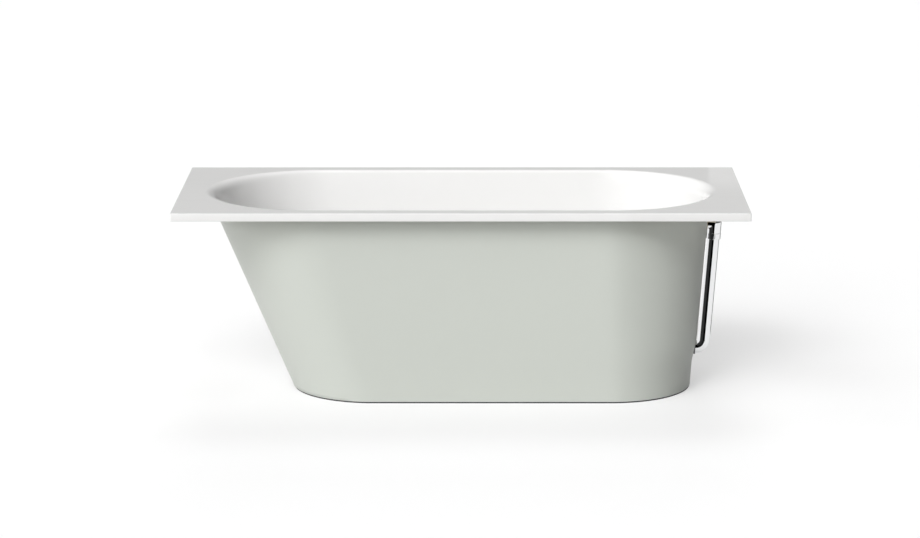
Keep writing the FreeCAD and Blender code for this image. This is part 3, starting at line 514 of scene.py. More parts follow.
def finish_piece(name, bm, body, finish, nodes, crease=CREASE):
    bm.normal_update()
    for face in bm.faces:
        face.smooth = True
    piece = new_object(name, bm)
    piece.data.set_sharp_from_angle(angle=math.radians(crease))
    piece.data.materials.append(FINISHES[finish])
    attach(piece, body)
    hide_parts(*nodes)
    return piece


def dress(names):
    """Give solids that are shown as they are their own finish."""
    for name in names:
        solid = frame["nodes"][name]
        if not solid.material_slots:
            raise RuntimeError("no material slot on " + name)
        for place in solid.material_slots:
            place.material = FINISHES["batten_across" if name in CROSS_BATTENS else FINISH_OF[name]]


def quarter(steps):
    """Angles from nothing to a quarter turn."""
    return [math.pi / 2 * step / steps for step in range(steps + 1)]


def turn(profile, segments, place=Matrix.Identity(4), wave=None):
    """Rings of a turned shape: profile holds (radius, height) pairs."""
    rings = []
    for radius, height in profile:
        if radius == 0.0:
            rings.append([place @ Vector((0.0, 0.0, height))])
            continue
        ring = []
        for i in range(segments):
            theta = 2 * math.pi * i / segments
            reach = radius if wave is None else wave(radius, height, theta)
            ring.append(place @ Vector((reach * math.cos(theta), reach * math.sin(theta), height)))
        rings.append(ring)
    return rings


def eased(points, steps=4):
    """Profile with rounded corners: points hold (radius, height, rounding), as a closed loop."""
    made = []
    for i, (radius, height, rounding) in enumerate(points):
        here = Vector((radius, height))
        if rounding == 0.0:
            made.append((radius, height))
            continue
        before = Vector(points[i - 1][:2]) - here
        after = Vector(points[(i + 1) % len(points)][:2]) - here
        opening = before.angle(after)
        tangent = min(rounding / math.tan(opening / 2), 0.49 * before.length,
                      0.49 * after.length)
        before.normalize()
        after.normalize()
        radius_used = tangent * math.tan(opening / 2)
        centre = here + (before + after).normalized() * (radius_used / math.sin(opening / 2))
        start = here + before * tangent - centre
        end = here + after * tangent - centre
        sweep = start.angle_signed(end)
        for step in range(steps + 1):
            turned = sweep * -step / steps
            made.append((
                centre.x + start.x * math.cos(turned) - start.y * math.sin(turned),
                centre.y + start.x * math.sin(turned) + start.y * math.cos(turned),
            ))
    return made


def tube_path(start, corner, end, bend):
    """Points and directions along two straight runs and the arc between them."""
    first = (start - corner).normalized()
    second = (end - corner).normalized()
    opening = first.angle(second)
    tangent = bend / math.tan(opening / 2)
    centre = corner + (first + second).normalized() * (bend / math.sin(opening / 2))
    arm = corner + first * tangent - centre
    other = corner + second * tangent - centre
    axis = arm.cross(other).normalized()
    total = arm.angle(other)
    stops = [(start, -first)]
    run = (start - corner).length - tangent
    for step in range(1, RUN_STEPS):
        stops.append((start - first * (run * step / RUN_STEPS), -first))
    for step in range(BEND_STEPS + 1):
        spin = Matrix.Rotation(total * step / BEND_STEPS, 3, axis)
        spoke = spin @ arm
        stops.append((centre + spoke, axis.cross(spoke).normalized()))
    stops.append((end, second))
    return stops


def tube_rings(stops, radius):
    side = Vector((0.0, 1.0, 0.0))
    turns = [2 * math.pi * i / ROUND for i in range(ROUND)]
    rings = []
    for point, direction in stops:
        other = direction.cross(side).normalized()
        rings.append([
            point + side * (radius * math.cos(turned)) + other * (radius * math.sin(turned))
            for turned in turns
        ])
    return rings


def cut(piece, cutters):
    """Take cutters, a list of meshes, out of a piece for good."""
    for bm in cutters:
        tool = new_object("cutter", bm)
        mesh = tool.data
        modifier = piece.modifiers.new("hole", "BOOLEAN")
        modifier.object = tool
        modifier.operation = "DIFFERENCE"
        modifier.solver = "EXACT"
        with bpy.context.temp_override(object=piece, active_object=piece):
            bpy.ops.object.modifier_apply(modifier="hole")
        bpy.data.objects.remove(tool)
        bpy.data.meshes.remove(mesh)
    piece.data.set_sharp_from_angle(angle=math.radians(CREASE))


def plug_mesh(radius, reach, place):
    """Closed round bar that reaches as far to both sides, used to cut holes."""
    return skin(turn([(0.0, -reach), (radius, -reach), (radius, reach), (0.0, reach)], ROUND,
                     place))


# --- the walls of basin and skirt ------------------------------------------------------------

ARC_STEPS = 40
SIDE_STEPS = 24
CORNER_STEPS = 6
CORNER_GAP = 0.02
LEAST_CORNER = 0.0004
LEAST_DROP = 0.0002
TINY = 1e-9


def end_centre(sizes):
    """Middle of the opening's round end, from the middle of the rim."""
    return sizes.rim_length / 2 - sizes.end_margin - (sizes.rim_width / 2 - sizes.side_margin)


def drain_x(sizes, waste):
    return sizes.rim_length / 2 - sizes.end_margin - waste.drain_inset


def corner_angles(sizes):
    """Directions round each end, with extra ones that meet the rim's corners."""
    reach = sizes.rim_length / 2 - sizes.corner_round - end_centre(sizes)
    half = sizes.rim_width / 2 - sizes.corner_round
    spread = [math.atan2(half + sizes.corner_round * math.sin(phi),
                         reach + sizes.corner_round * math.cos(phi))
              for phi in quarter(CORNER_STEPS)]
    clear = [(theta, None) for theta in quarter(ARC_STEPS)
             if theta < spread[0] - CORNER_GAP or theta > spread[-1] + CORNER_GAP]
    return sorted(clear + [(theta, step) for step, theta in enumerate(spread)])


def outline_marks(sizes):
    """The stations of every ring: where each lies on an end's arc or a long side."""
    corners = corner_angles(sizes)
    sides = [step / SIDE_STEPS for step in range(SIDE_STEPS + 1)]
    return [
        *[("foot", theta, corner) for theta, corner in corners[:-1]],
        *[("back", step, None) for step in sides],
        *[("head", math.pi - theta, corner) for theta, corner in reversed(corners[:-1])],
        *[("head", math.pi + theta, corner) for theta, corner in corners[1:-1]],
        *[("front", step, None) for step in sides],
        *[("foot", -theta, corner) for theta, corner in reversed(corners[1:-1])],
    ]


def oval(marks, z, head, foot, half):
    """Ring with two round ends at x = -head and x = foot."""
    centres = {"foot": foot - half, "head": half - head}
    straight = foot - half - (half - head)
    ring = []
    for part, value, corner in marks:
        if part in centres:
            ring.append(Vector((centres[part] + half * math.cos(value), half * math.sin(value), z)))
        elif part == "back":
            ring.append(Vector((centres["foot"] - straight * value, half, z)))
        else:
            ring.append(Vector((centres["head"] + straight * value, -half, z)))
    return ring


def slab_ring(marks, sizes, z, inset):
    """Ring on the rim's rectangle, inset from its edge."""
    reach = sizes.rim_length / 2 - inset
    wide = sizes.rim_width / 2 - inset
    left = max(sizes.corner_round - inset, LEAST_CORNER)
    middle = end_centre(sizes)
    ring = []
    for part, value, corner in marks:
        if part in ("back", "front"):
            side = 1 if part == "back" else -1
            ring.append(Vector((side * middle * (1 - 2 * value), side * wide, z)))
            continue
        away_x, away_y = abs(math.cos(value)), abs(math.sin(value))
        if corner is None:
            run = min((sizes.rim_length / 2 - middle) / max(away_x, TINY),
                      sizes.rim_width / 2 / max(away_y, TINY))
            x, y = min(middle + away_x * run, reach), min(away_y * run, wide)
        else:
            phi = math.pi / 2 * corner / CORNER_STEPS
            x = reach - left + left * math.cos(phi)
            y = wide - left + left * math.sin(phi)
        ring.append(Vector((x if part == "foot" else -x, y if math.sin(value) >= 0 else -y, z)))
    return ring


def wall_place(sizes, z, edge, roll, lean, offset):
    """Distance of a basin wall from the middle at height z; offset is 0 on the wet face."""
    top = sizes.rim_height - offset
    floor = sizes.rim_height - sizes.depth - offset
    roll = roll - offset
    fillet = sizes.floor_round + offset
    straight_top = top - roll * (1 - math.sin(lean))
    straight_place = edge - roll * math.cos(lean)
    if z >= straight_top:
        rise = z - (top - roll)
        return edge - math.sqrt(max(roll ** 2 - rise ** 2, 0.0))
    corner = straight_place - (straight_top - floor) * math.tan(lean)
    reach = fillet * math.tan((math.pi / 2 - lean) / 2)
    if z < floor + reach * math.cos(lean):
        fall = fillet - (z - floor)
        return corner - reach + math.sqrt(max(fillet ** 2 - fall ** 2, 0.0))
    return straight_place - (straight_top - z) * math.tan(lean)


def basin_places(sizes, z, offset):
    """Basin walls at height z: head end, foot end and sides."""
    edge = sizes.rim_length / 2 - sizes.end_margin
    side = sizes.rim_width / 2 - sizes.side_margin
    return (
        wall_place(sizes, z, edge, sizes.end_roll, sizes.head_lean, offset),
        wall_place(sizes, z, edge, sizes.end_roll, sizes.foot_lean, offset),
        wall_place(sizes, z, side, sizes.side_roll, sizes.side_lean, offset),
    )


def basin_heights(sizes, offset):
    """Heights of the rings of a bowl's face, close together where it bends."""
    top = sizes.rim_height - offset
    floor = top - sizes.depth
    fillet = sizes.floor_round + offset
    heights = {top, floor}
    for roll, steps in ((sizes.side_roll - offset, 8), (sizes.end_roll - offset, 14)):
        heights.update(top - roll * (1 - math.cos(turned)) for turned in quarter(steps)[1:])
    heights.update(floor + fillet * (1 - math.cos(turned)) for turned in quarter(14)[1:])
    low, high = floor + fillet, top - sizes.end_roll
    heights.update(low + (high - low) * step / 12 for step in range(1, 12))
    ordered = sorted({round(z, 6) for z in heights}, reverse=True)
    kept = [ordered[0]]
    for z in ordered[1:]:
        if kept[-1] - z > LEAST_DROP or z == ordered[-1]:
            kept.append(z)
    return kept


def floor_rings(sizes, waste, z, outer, radius, steps=7):
    """Rings from the floor's outline to the drain hole, their points in line with it."""
    x = drain_x(sizes, waste)
    hole = []
    for point in outer:
        theta = math.atan2(point.y, point.x - x)
        hole.append(Vector((x + radius * math.cos(theta), radius * math.sin(theta), z)))
    rings = []
    for step in range(1, steps):
        amount = (step / steps) ** 0.8
        rings.append([a.lerp(b, amount) for a, b in zip(outer, hole)])
    return [*rings, hole]


def skirt_top(basin, skirt):
    return basin.rim_height - basin.sheet - skirt.drop


def skirt_places(basin, skirt, waste, z):
    """Outside of the skirt at height z: head end, foot end and sides."""
    top = skirt_top(basin, skirt)
    at_top = basin_places(basin, top, basin.sheet)
    level_z = basin.rim_height - waste.overflow_drop
    level = basin_places(basin, level_z, basin.sheet)[1]
    head = at_top[0] + skirt.head_gap + skirt.thickness - math.tan(skirt.head_lean) * (top - z)
    side = at_top[2] + skirt.side_gap + skirt.thickness - math.tan(skirt.side_lean) * (top - z)
    foot = level + skirt.foot_gap + skirt.thickness - math.tan(basin.foot_lean) * (level_z - z)
    amount = (skirt.waist - z) / (skirt.waist - skirt.ankle)
    foot -= skirt.step * eased_step(amount)
    return head, foot, side


def eased_step(amount):
    """Runs straight from 0 to 1, with its two corners rounded off."""
    soft = 0.18
    if amount <= -soft:
        return 0.0
    if amount >= 1 + soft:
        return 1.0
    if amount < soft:
        return (amount + soft) ** 2 / (4 * soft)
    if amount > 1 - soft:
        return 1 - (1 + soft - amount) ** 2 / (4 * soft)
    return amount


# --- where the overflow sits -----------------------------------------------------------------

class Overflow:
    """Places along the overflow's own axis, which leaves the basin square to its foot wall."""

    def __init__(self, scene):
        basin, skirt, waste = scene.bath_basin, scene.bath_skirt, scene.bath_waste
        z = basin.rim_height - waste.overflow_drop
        foot = basin_places(basin, z, 0.0)[1]
        self.frame = (Matrix.Translation((foot, 0.0, z))
                      @ Matrix.Rotation(basin.foot_lean, 4, "Y"))
        self.skirt = (skirt_places(basin, skirt, waste, z)[1] - foot) * math.cos(basin.foot_lean)
        self.elbow_radius = waste.pipe_radius + waste.elbow_wall
        self.nut_radius = self.elbow_radius + waste.nut_wall
        self.axis = self.skirt + waste.nut_gap + self.nut_radius
        self.elbow_start = self.skirt + waste.elbow_gap
        self.elbow_leg = self.elbow_radius + waste.elbow_skirt
        self.mouth = self.frame @ Vector((self.axis, 0.0, -self.elbow_leg))
        self.pipe_z = basin.rim_height - basin.depth - waste.pipe_drop
        centre = self.frame @ Vector((self.axis, 0.0, 0.0))
        self.corner = Vector((
            centre.x - (centre.z - self.pipe_z) * math.tan(basin.foot_lean), 0.0, self.pipe_z))
        self.entry = skirt_places(basin, skirt, waste, self.pipe_z)[1]
        self.down = (self.frame.to_3x3() @ Vector((0.0, 0.0, -1.0))).normalized()

    def along(self, x):
        """Matrix whose z axis runs out along the overflow, with its start at local x."""
        return self.frame @ Matrix.Translation((x, 0.0, 0.0)) @ SIDEWAYS


# --- operators -------------------------------------------------------------------------------

class BATH_OT_finishes(bpy.types.Operator):
    """Make the finishes and give them to the solids that are shown as they are"""
    bl_idname = "bath.finishes"
    bl_label = "Finishes"

    def execute(self, context):
        FINISHES.update(make_finishes(context.scene.bath_finishes))
        dress(sorted(frame["nodes"]))
        return {"FINISHED"}


class BATH_OT_basin(bpy.types.Operator):
    """Model the white basin: rim, rolls, walls, floor and underside"""
    bl_idname = "bath.basin"
    bl_label = "Basin"

    def execute(self, context):
        basin, waste = context.scene.bath_basin, context.scene.bath_waste
        marks = outline_marks(basin)
        top, sheet = basin.rim_height, basin.sheet
        lip, curl, edge = top - basin.edge_height, basin.lip_round, basin.edge_round
        radius = waste.drain_radius + waste.drain_room
        flat, wide, near = 0.001, 0.004, 0.0008

        def slab(z, inset):
            return slab_ring(marks, basin, z, inset)

        def bowl(z, offset, grow=0.0):
            return oval(marks, z, *[place + grow for place in basin_places(basin, z, offset)])

        def face(offset):
            rings = [bowl(z, offset) for z in basin_heights(basin, offset)]
            return rings + floor_rings(basin, waste, top - basin.depth - offset, rings[-1], radius)

        rings = [
            slab(top - sheet, sheet),
            *[slab(lip + curl * (1 - math.sin(turned)), sheet - curl * (1 - math.cos(turned)))
              for turned in quarter(3)],
            *[slab(lip + curl * (1 - math.cos(turned)), curl * (1 - math.sin(turned)))
              for turned in quarter(3)],
            *[slab(top - edge * (1 - math.sin(turned)), edge * (1 - math.cos(turned)))
              for turned in quarter(5)],
            slab(top, edge + flat), bowl(top, 0.0, wide), bowl(top, 0.0, near),
            *face(0.0), *reversed(face(sheet)),
        ]
        piece = finish_piece("basin_shell", skin(rings, closed=True), STILL, "white_gloss",
                             ["basin"], 32.0)
        where = Overflow(context.scene).along(0.0)
        cut(piece, [plug_mesh(waste.overflow_hole, BASIN_CUT, where)])
        return {"FINISHED"}


class BATH_OT_skirt(bpy.types.Operator):
    """Model the sage skirt with its flange, and the near-black seal under it, which also paints the
    contact shadow along its foot
    """
    bl_idname = "bath.skirt"
    bl_label = "Skirt"

    def execute(self, context):
        scene = context.scene
        basin, skirt, waste = scene.bath_basin, scene.bath_skirt, scene.bath_waste
        marks = outline_marks(basin)
        top, foot, wall = skirt_top(basin, skirt), skirt.seal_height, skirt.thickness
        bevel, root, reach = skirt.bevel, skirt.flange_round, skirt.flange

        def ring(z, inset, level=None):
            """Ring at z, inset from the skirt's outline at that height or at a level."""
            places = skirt_places(basin, skirt, waste, z if level is None else level)
            return oval(marks, z, *[place - inset for place in places])

        rows, flat = 48, 0.001
        heights = [foot + (top - wall - foot) * row / rows for row in range(1, rows)]
        rings = [
            *[ring(z, 0.0) for z in (foot + bevel, *heights)],
            *[ring(top - wall - root * (1 - math.sin(turned)), -root * (1 - math.cos(turned)))
              for turned in quarter(4)],
            *[ring(z, -out, top) for z, out in (
                (top - wall, reach - bevel), (top - wall + bevel, reach), (top - bevel, reach),
                (top, reach - bevel), (top, flat - wall))],
            *[ring(z, wall) for z in (top - flat, *reversed(heights), foot + bevel)],
            ring(foot, wall - bevel), ring(foot, bevel),
        ]
        piece = finish_piece("skirt_shell", skin(rings, closed=True), STILL, "sage_satin",
                             ["outer_skirt"], 30.0)
        place = Overflow(scene)
        low = Matrix.Translation((place.entry, 0.0, place.pipe_z)) @ SIDEWAYS
        cut(piece, [plug_mesh(waste.pipe_radius + skirt.hole_room, SKIRT_CUT, where)
                    for where in (place.along(place.skirt), low)])
        # Rubber seal the skirt stands on; its near-black also paints the dark contact shadow along
        # the skirt's foot.
        width, high = skirt.seal_width, skirt.seal_height
        outline = eased([(0.0, 0.0, 0.0006), (0.0, high, 0.0009), (width, high, 0.0009),
                         (width, 0.0, 0.0006)])
        rings = [ring(z, skirt.seal_inset + depth, 0.0) for depth, z in outline]
        finish_piece("seal_strip", skin(rings, closed=True), STILL, "dark_rubber",
                     ["floor_seal"], 50.0)
        return {"FINISHED"}


class BATH_OT_overflow_pipe(bpy.types.Operator):
    """Model the chrome overflow pipe, its elbow and its slip nut"""
    bl_idname = "bath.overflow_pipe"
    bl_label = "Overflow pipe"

    def execute(self, context):
        basin, waste = context.scene.bath_basin, context.scene.bath_waste
        place = Overflow(context.scene)
        start = place.mouth - place.down * waste.socket
        end = Vector((drain_x(basin, waste) + waste.pipe_end, 0.0, place.pipe_z))
        stops = tube_path(start, place.corner, end, waste.pipe_radius + waste.throat)
        outer = tube_rings(stops, waste.pipe_radius)
        inner = tube_rings(stops, waste.pipe_radius - waste.pipe_wall)
        finish_piece("overflow_tube", skin(outer + list(reversed(inner)), closed=True), STILL,
                     "plated", ["overflow_pipe"])
        self.elbow(place, waste)
        self.nut(place, waste)
        return {"FINISHED"}

    def elbow(self, place, waste):
        """Cast elbow: round outside corner, small rounding in its throat."""
        radius, leg, throat = place.elbow_radius, place.elbow_leg, 0.0025
        bore, bevel, rest = waste.pipe_radius - 0.00205, 0.0008, 0.002
        pivot, steps = -(radius + throat), 20
        front = [-math.pi / 2 + math.pi * step / steps for step in range(steps + 1)]

        def station(alpha):
            """Section at an angle round the bend: its outer half, then its inner half."""
            ring = []
            for psi in front:
                wide = radius * math.cos(psi)
                ring.append(Vector((wide * math.sin(alpha), radius * math.sin(psi),
                                    wide * math.cos(alpha))))
            for psi in reversed(front):
                crease = -radius * math.cos(psi) - throat
                ring.append(Vector((crease + throat * math.sin(alpha), radius * math.sin(psi),
                                    crease + throat * math.cos(alpha))))
            return ring

        def level(points, z):
            return [Vector((point.x, point.y, z)) for point in points]

        rings = [[Vector((pivot, point.y, point.z)) for point in station(0.0)],
                 *[station(alpha) for alpha in quarter(24)]]
        last = rings[-1]
        spokes = [Vector((point.x, point.y, 0.0)).normalized() for point in last]
        mouth = [spoke * waste.pipe_radius for spoke in spokes]
        rings += [level(last, z) for z in (pivot, pivot - rest, bevel - leg, -leg)]
        rings += [level(mouth, -leg), level(mouth, waste.socket - leg)]
        for alpha in reversed(quarter(12)):
            ring = []
            for spoke in spokes:
                away = spoke.x * bore - pivot
                ring.append(Vector((pivot + away * math.sin(alpha), spoke.y * bore,
                                    pivot + away * math.cos(alpha))))
            rings.append(ring)
        shift = place.frame @ Matrix.Translation((place.axis, 0.0, 0.0))
        start = place.elbow_start - place.axis
        rings = [[shift @ Vector((max(point.x, start), point.y, point.z)) for point in ring]
                 for ring in rings]
        finish_piece("elbow_casting", skin(rings, closed=True), STILL, "plated",
                     ["overflow_elbow"], 42.0)

    def nut(self, place, waste):
        """Slip nut with fine grips round its middle."""
        radius, height = place.nut_radius, waste.nut_height
        bore = waste.pipe_radius + 0.0003
        seat = place.elbow_radius - 0.0009
        ridges, ridge_depth, plain = 36, 0.00035, 0.0035

        def grips(reach, level, theta):
            if reach < radius - 0.0005 or level < plain or level > height - plain:
                return reach
            return reach - ridge_depth * (0.5 - 0.5 * math.cos(ridges * theta))

        profile = eased([
            (seat, 0.0, 0.0), (radius, 0.0, 0.0012), (radius, 0.0030, 0.0),
            (radius, 0.0040, 0.0), (radius, height - 0.0050, 0.0),
            (radius, height - 0.0040, 0.0), (radius, height - 0.0008, 0.0016),
            (bore, height, 0.0006), (bore, 0.0055, 0.0), (seat, 0.0055, 0.0),
        ], 6)
        side = place.frame.to_3x3() @ Vector((0.0, 1.0, 0.0))
        across = side.cross(place.down).normalized()
        axes = Matrix((across, side, place.down)).transposed().to_4x4()
        rings = turn(profile, 6 * ridges, Matrix.Translation(place.mouth) @ axes, grips)
        finish_piece("elbow_nut_ring", skin(rings, closed=True), STILL, "plated",
                     ["elbow_slip_nut"], 34.0)


class BATH_OT_overflow_knob(bpy.types.Operator):
    """Model the overflow knob with its finger grips"""
    bl_idname = "bath.overflow_knob"
    bl_label = "Overflow knob"

    def execute(self, context):
        waste = context.scene.bath_waste
        radius, thick, grips = waste.knob_radius, waste.knob_thickness, waste.grips
        rim, scoop = 0.0045, 0.012
        centre = radius + 0.0085

        def grip(reach, level, theta):
            """Scoops out of the rim, deepest at its edge."""
            spread = 2 * math.pi / grips
            off = (theta + spread / 2) % spread - spread / 2
            inside = scoop ** 2 - (centre * math.sin(off)) ** 2
            if reach < radius - rim or inside <= 0 or math.cos(off) <= 0:
                return reach
            edge = centre * math.cos(off) - math.sqrt(inside)
            if edge >= radius:
                return reach
            return reach - (radius - edge) * (reach - (radius - rim)) / rim

        profile = eased([
            (0.008, 0.0, 0.0), (0.008, 0.005, 0.0006), (radius - 0.003, 0.005, 0.0006),
            (radius - 0.003, 0.0, 0.0004), (radius, 0.0, 0.0006), (radius, thick - 0.0002, 0.0032),
            (radius - 0.0065, thick - 0.0003, 0.001), (radius - 0.0085, thick - 0.0014, 0.001),
            (radius - 0.0105, thick - 0.0004, 0.001), (0.004, thick, 0.0),
        ], 6)
        facing = (Overflow(context.scene).frame @ Matrix.Translation((-waste.knob_stand, 0.0, 0.0))
                  @ SIDEWAYS.inverted())
        rings = turn([(0.0, 0.005), *profile, (0.0, thick)], 180, facing, grip)
        finish_piece("knob_disc", skin(rings), "knob", "plated", ["overflow_knob"], 34.0)
        return {"FINISHED"}


DRAIN_FOOT = -0.026


class BATH_OT_drain(bpy.types.Operator):
    """Model the drain flange with its crossbars, and the plug over it"""
    bl_idname = "bath.drain"
    bl_label = "Drain and plug"

    def execute(self, context):
        basin, waste = context.scene.bath_basin, context.scene.bath_waste
        floor = basin.rim_height - basin.depth
        shift = Matrix.Translation((drain_x(basin, waste), 0.0, floor))
        thread = waste.drain_radius
        bore = thread - 0.003
        profile = eased([
            (bore, DRAIN_FOOT, 0.0), (thread, DRAIN_FOOT, 0.0004), (thread, 0.001, 0.0),
            (thread + 0.011, 0.001, 0.0004), (thread + 0.011, 0.0018, 0.0008),
            (thread + 0.006, 0.0036, 0.003), (bore + 0.0015, 0.004, 0.0012), (bore, 0.002, 0.0008),
        ], 5)
        hub = eased([(0.0041, DRAIN_FOOT, 0.0), (0.008, DRAIN_FOOT, 0.0005),
                     (0.008, -0.017, 0.0008), (0.0041, -0.017, 0.0006)], 4)
        parts = [skin(turn(profile, 96, shift), closed=True),
                 skin(turn(hub, 48, shift), closed=True)]
        for i in range(3):
            turned = Matrix.Rotation(2 * math.pi * i / 3, 4, "Z")
            parts.append(self.bar(shift @ turned, bore))
        finish_piece("drain_ring", join(parts), STILL, "plated", ["drain_flange"], 36.0)
        self.plug(shift, bore)
        return {"FINISHED"}

    def bar(self, place, bore):
        """Crossbar from the stem's guide to the drain's wall."""
        outline = eased([(-0.002, DRAIN_FOOT, 0.0005), (0.002, DRAIN_FOOT, 0.0005),
                         (0.002, -0.0195, 0.0014), (-0.002, -0.0195, 0.0014)], 3)
        rings = [[place @ Vector((reach, y, z)) for y, z in outline]
                 for reach in (0.0072, 0.011, 0.016, bore + 0.0006)]
        bm = skin(rings)
        for ring in (bm.verts[:len(outline)], bm.verts[-len(outline):]):
            bm.faces.new(ring)
        bmesh.ops.recalc_face_normals(bm, faces=bm.faces)
        return bm

    def plug(self, shift, bore):
        """Low dome over the drain, part of a ball."""
        radius, seat, rise = bore + 0.009, 0.00575, 0.003
        crown = seat + 0.004
        ball = (radius ** 2 + rise ** 2) / (2 * rise)
        dome = []
        for step in range(11):
            reach = (radius - 0.0014) * (1 - step / 10)
            dome.append((reach, crown - ball + math.sqrt(ball ** 2 - reach ** 2)))
        edge = [(radius - 0.0005, seat), (radius, seat + 0.0004), (radius, seat + 0.0009),
                (radius - 0.00035, seat + 0.0013)]
        profile = [(0.0, seat), (radius * 0.5, seat), *edge, *dome]
        finish_piece("plug_dome", skin(turn(profile, 96, shift)), "plug", "plated",
                     ["plug_cap"], 40.0)


FEET = ("head_front", "head_back", "foot_front", "foot_back")
FIT = 0.00005
THREAD_STEPS = 6


class BATH_OT_feet(bpy.types.Operator):
    """Model the threaded studs, their nuts and the foot pads"""
    bl_idname = "bath.feet"
    bl_label = "Feet"

    def execute(self, context):
        sizes = context.scene.bath_feet
        places = []
        for name in FEET:
            low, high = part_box("foot_stud_" + name)
            place = Matrix.Translation(((low[0] + high[0]) / 2, (low[1] + high[1]) / 2, 0.0))
            self.stud(name, sizes, place, low[2], high[2])
            self.pad(name, sizes, place)
            places.append(place)
        for node in ("foot_nuts", "foot_lock_nuts"):
            low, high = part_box(node)
            lift = Matrix.Translation((0.0, 0.0, low[2]))
            nuts = [self.nut(place @ lift, sizes.nut_reach, sizes.stud_radius + FIT,
                             high[2] - low[2]) for place in places]
            finish_piece(node + "_set", join(nuts), STILL, "zinc_steel", [node], 24.0)
        return {"FINISHED"}

    def stud(self, name, sizes, place, low, high):
        """Stud with its thread, and the collar it is turned by."""
        radius, pitch = sizes.stud_radius, sizes.pitch
        row_height = pitch / THREAD_STEPS
        collar_low = low + sizes.collar_rise
        collar_high = collar_low + sizes.collar_height
        rows = int((high - collar_high - 0.003) / row_height)
        start = collar_high + 0.0015
        end = start + rows * pitch / THREAD_STEPS

        def thread(reach, level, theta):
            if level < start or level > end:
                return reach
            phase = ((level - start) / pitch - theta / (2 * math.pi)) % 1.0
            fade = min(1.0, (level - start) / pitch, (end - level) / pitch)
            return reach - sizes.thread_depth * fade * (1 - abs(2 * phase - 1))

        profile = [
            (0.0, low), (radius - 0.0008, low), (radius, low + 0.0008), (radius, collar_high),
            *[(radius, start + row_height * row) for row in range(rows + 1)],
            (radius - 0.0012, high), (0.0, high),
        ]
        shank = skin(turn(profile, 36, place, thread))
        collar = self.nut(place @ Matrix.Translation((0.0, 0.0, collar_low)),
                          radius + sizes.collar_reach, radius - 0.0002, sizes.collar_height)
        finish_piece("stud_screw_" + name, join([shank, collar]), "stud_" + name, "zinc_steel",
                     ["foot_stud_" + name], 42.0)

    def nut(self, place, reach, bore, height):
        """Hexagon nut with turned corners."""
        flat = reach * math.cos(math.pi / 6)

        def hexagon(radius, level, theta):
            if radius < flat:
                return radius
            off = (theta + math.pi / 6) % (math.pi / 3) - math.pi / 6
            return min(radius, flat / math.cos(off))

        bevel = (reach - flat) * 0.62
        slope = [(flat + (reach - flat) * step / 5, bevel * (step / 5) ** 1.1 + 0.0001)
                 for step in range(6)]
        half = [(bore, 0.0006), (bore + 0.0006, 0.0), (flat - 0.0001, 0.0), *slope]
        profile = half + [(radius, height - level) for radius, level in reversed(half)]
        return skin(turn(profile, 72, place, hexagon), closed=True)

    def pad(self, name, sizes, place):
        """Round pad, ribbed underneath, with a neck for the stud."""
        radius, neck = sizes.pad_radius, sizes.stud_radius + 0.006
        socket, floor = sizes.stud_radius + FIT, 0.0061
        profile = eased([
            (radius - 0.006, 0.0, 0.0), (radius - 0.0055, 0.0006, 0.0),
            (radius - 0.0045, 0.0006, 0.0), (radius - 0.004, 0.0, 0.0), (radius, 0.0, 0.0008),
            (radius, 0.0045, 0.0016), (radius - 0.004, 0.006, 0.002), (neck, 0.006, 0.0015),
            (neck, 0.016, 0.0012), (socket, 0.016, 0.0005), (socket, floor, 0.0),
        ], 5)
        rings = turn([(0.0, 0.0), *profile, (0.0, floor)], 72, place)
        finish_piece("pad_disc_" + name, skin(rings), "foot_" + name, "foot_plastic",
                     ["foot_pad_" + name], 36.0)


FAR = 9.0
CARD_INSET = 0.02
CARD_GAP = 0.0015
CARD_STEPS = 12
MIRRORED = (-100.0, -20.0)


def heading(turned, raised):
    """Direction turned from the front towards the foot end and raised above the floor."""
    return Vector((math.sin(turned) * math.cos(raised), -math.cos(turned) * math.cos(raised),
                   math.sin(raised)))


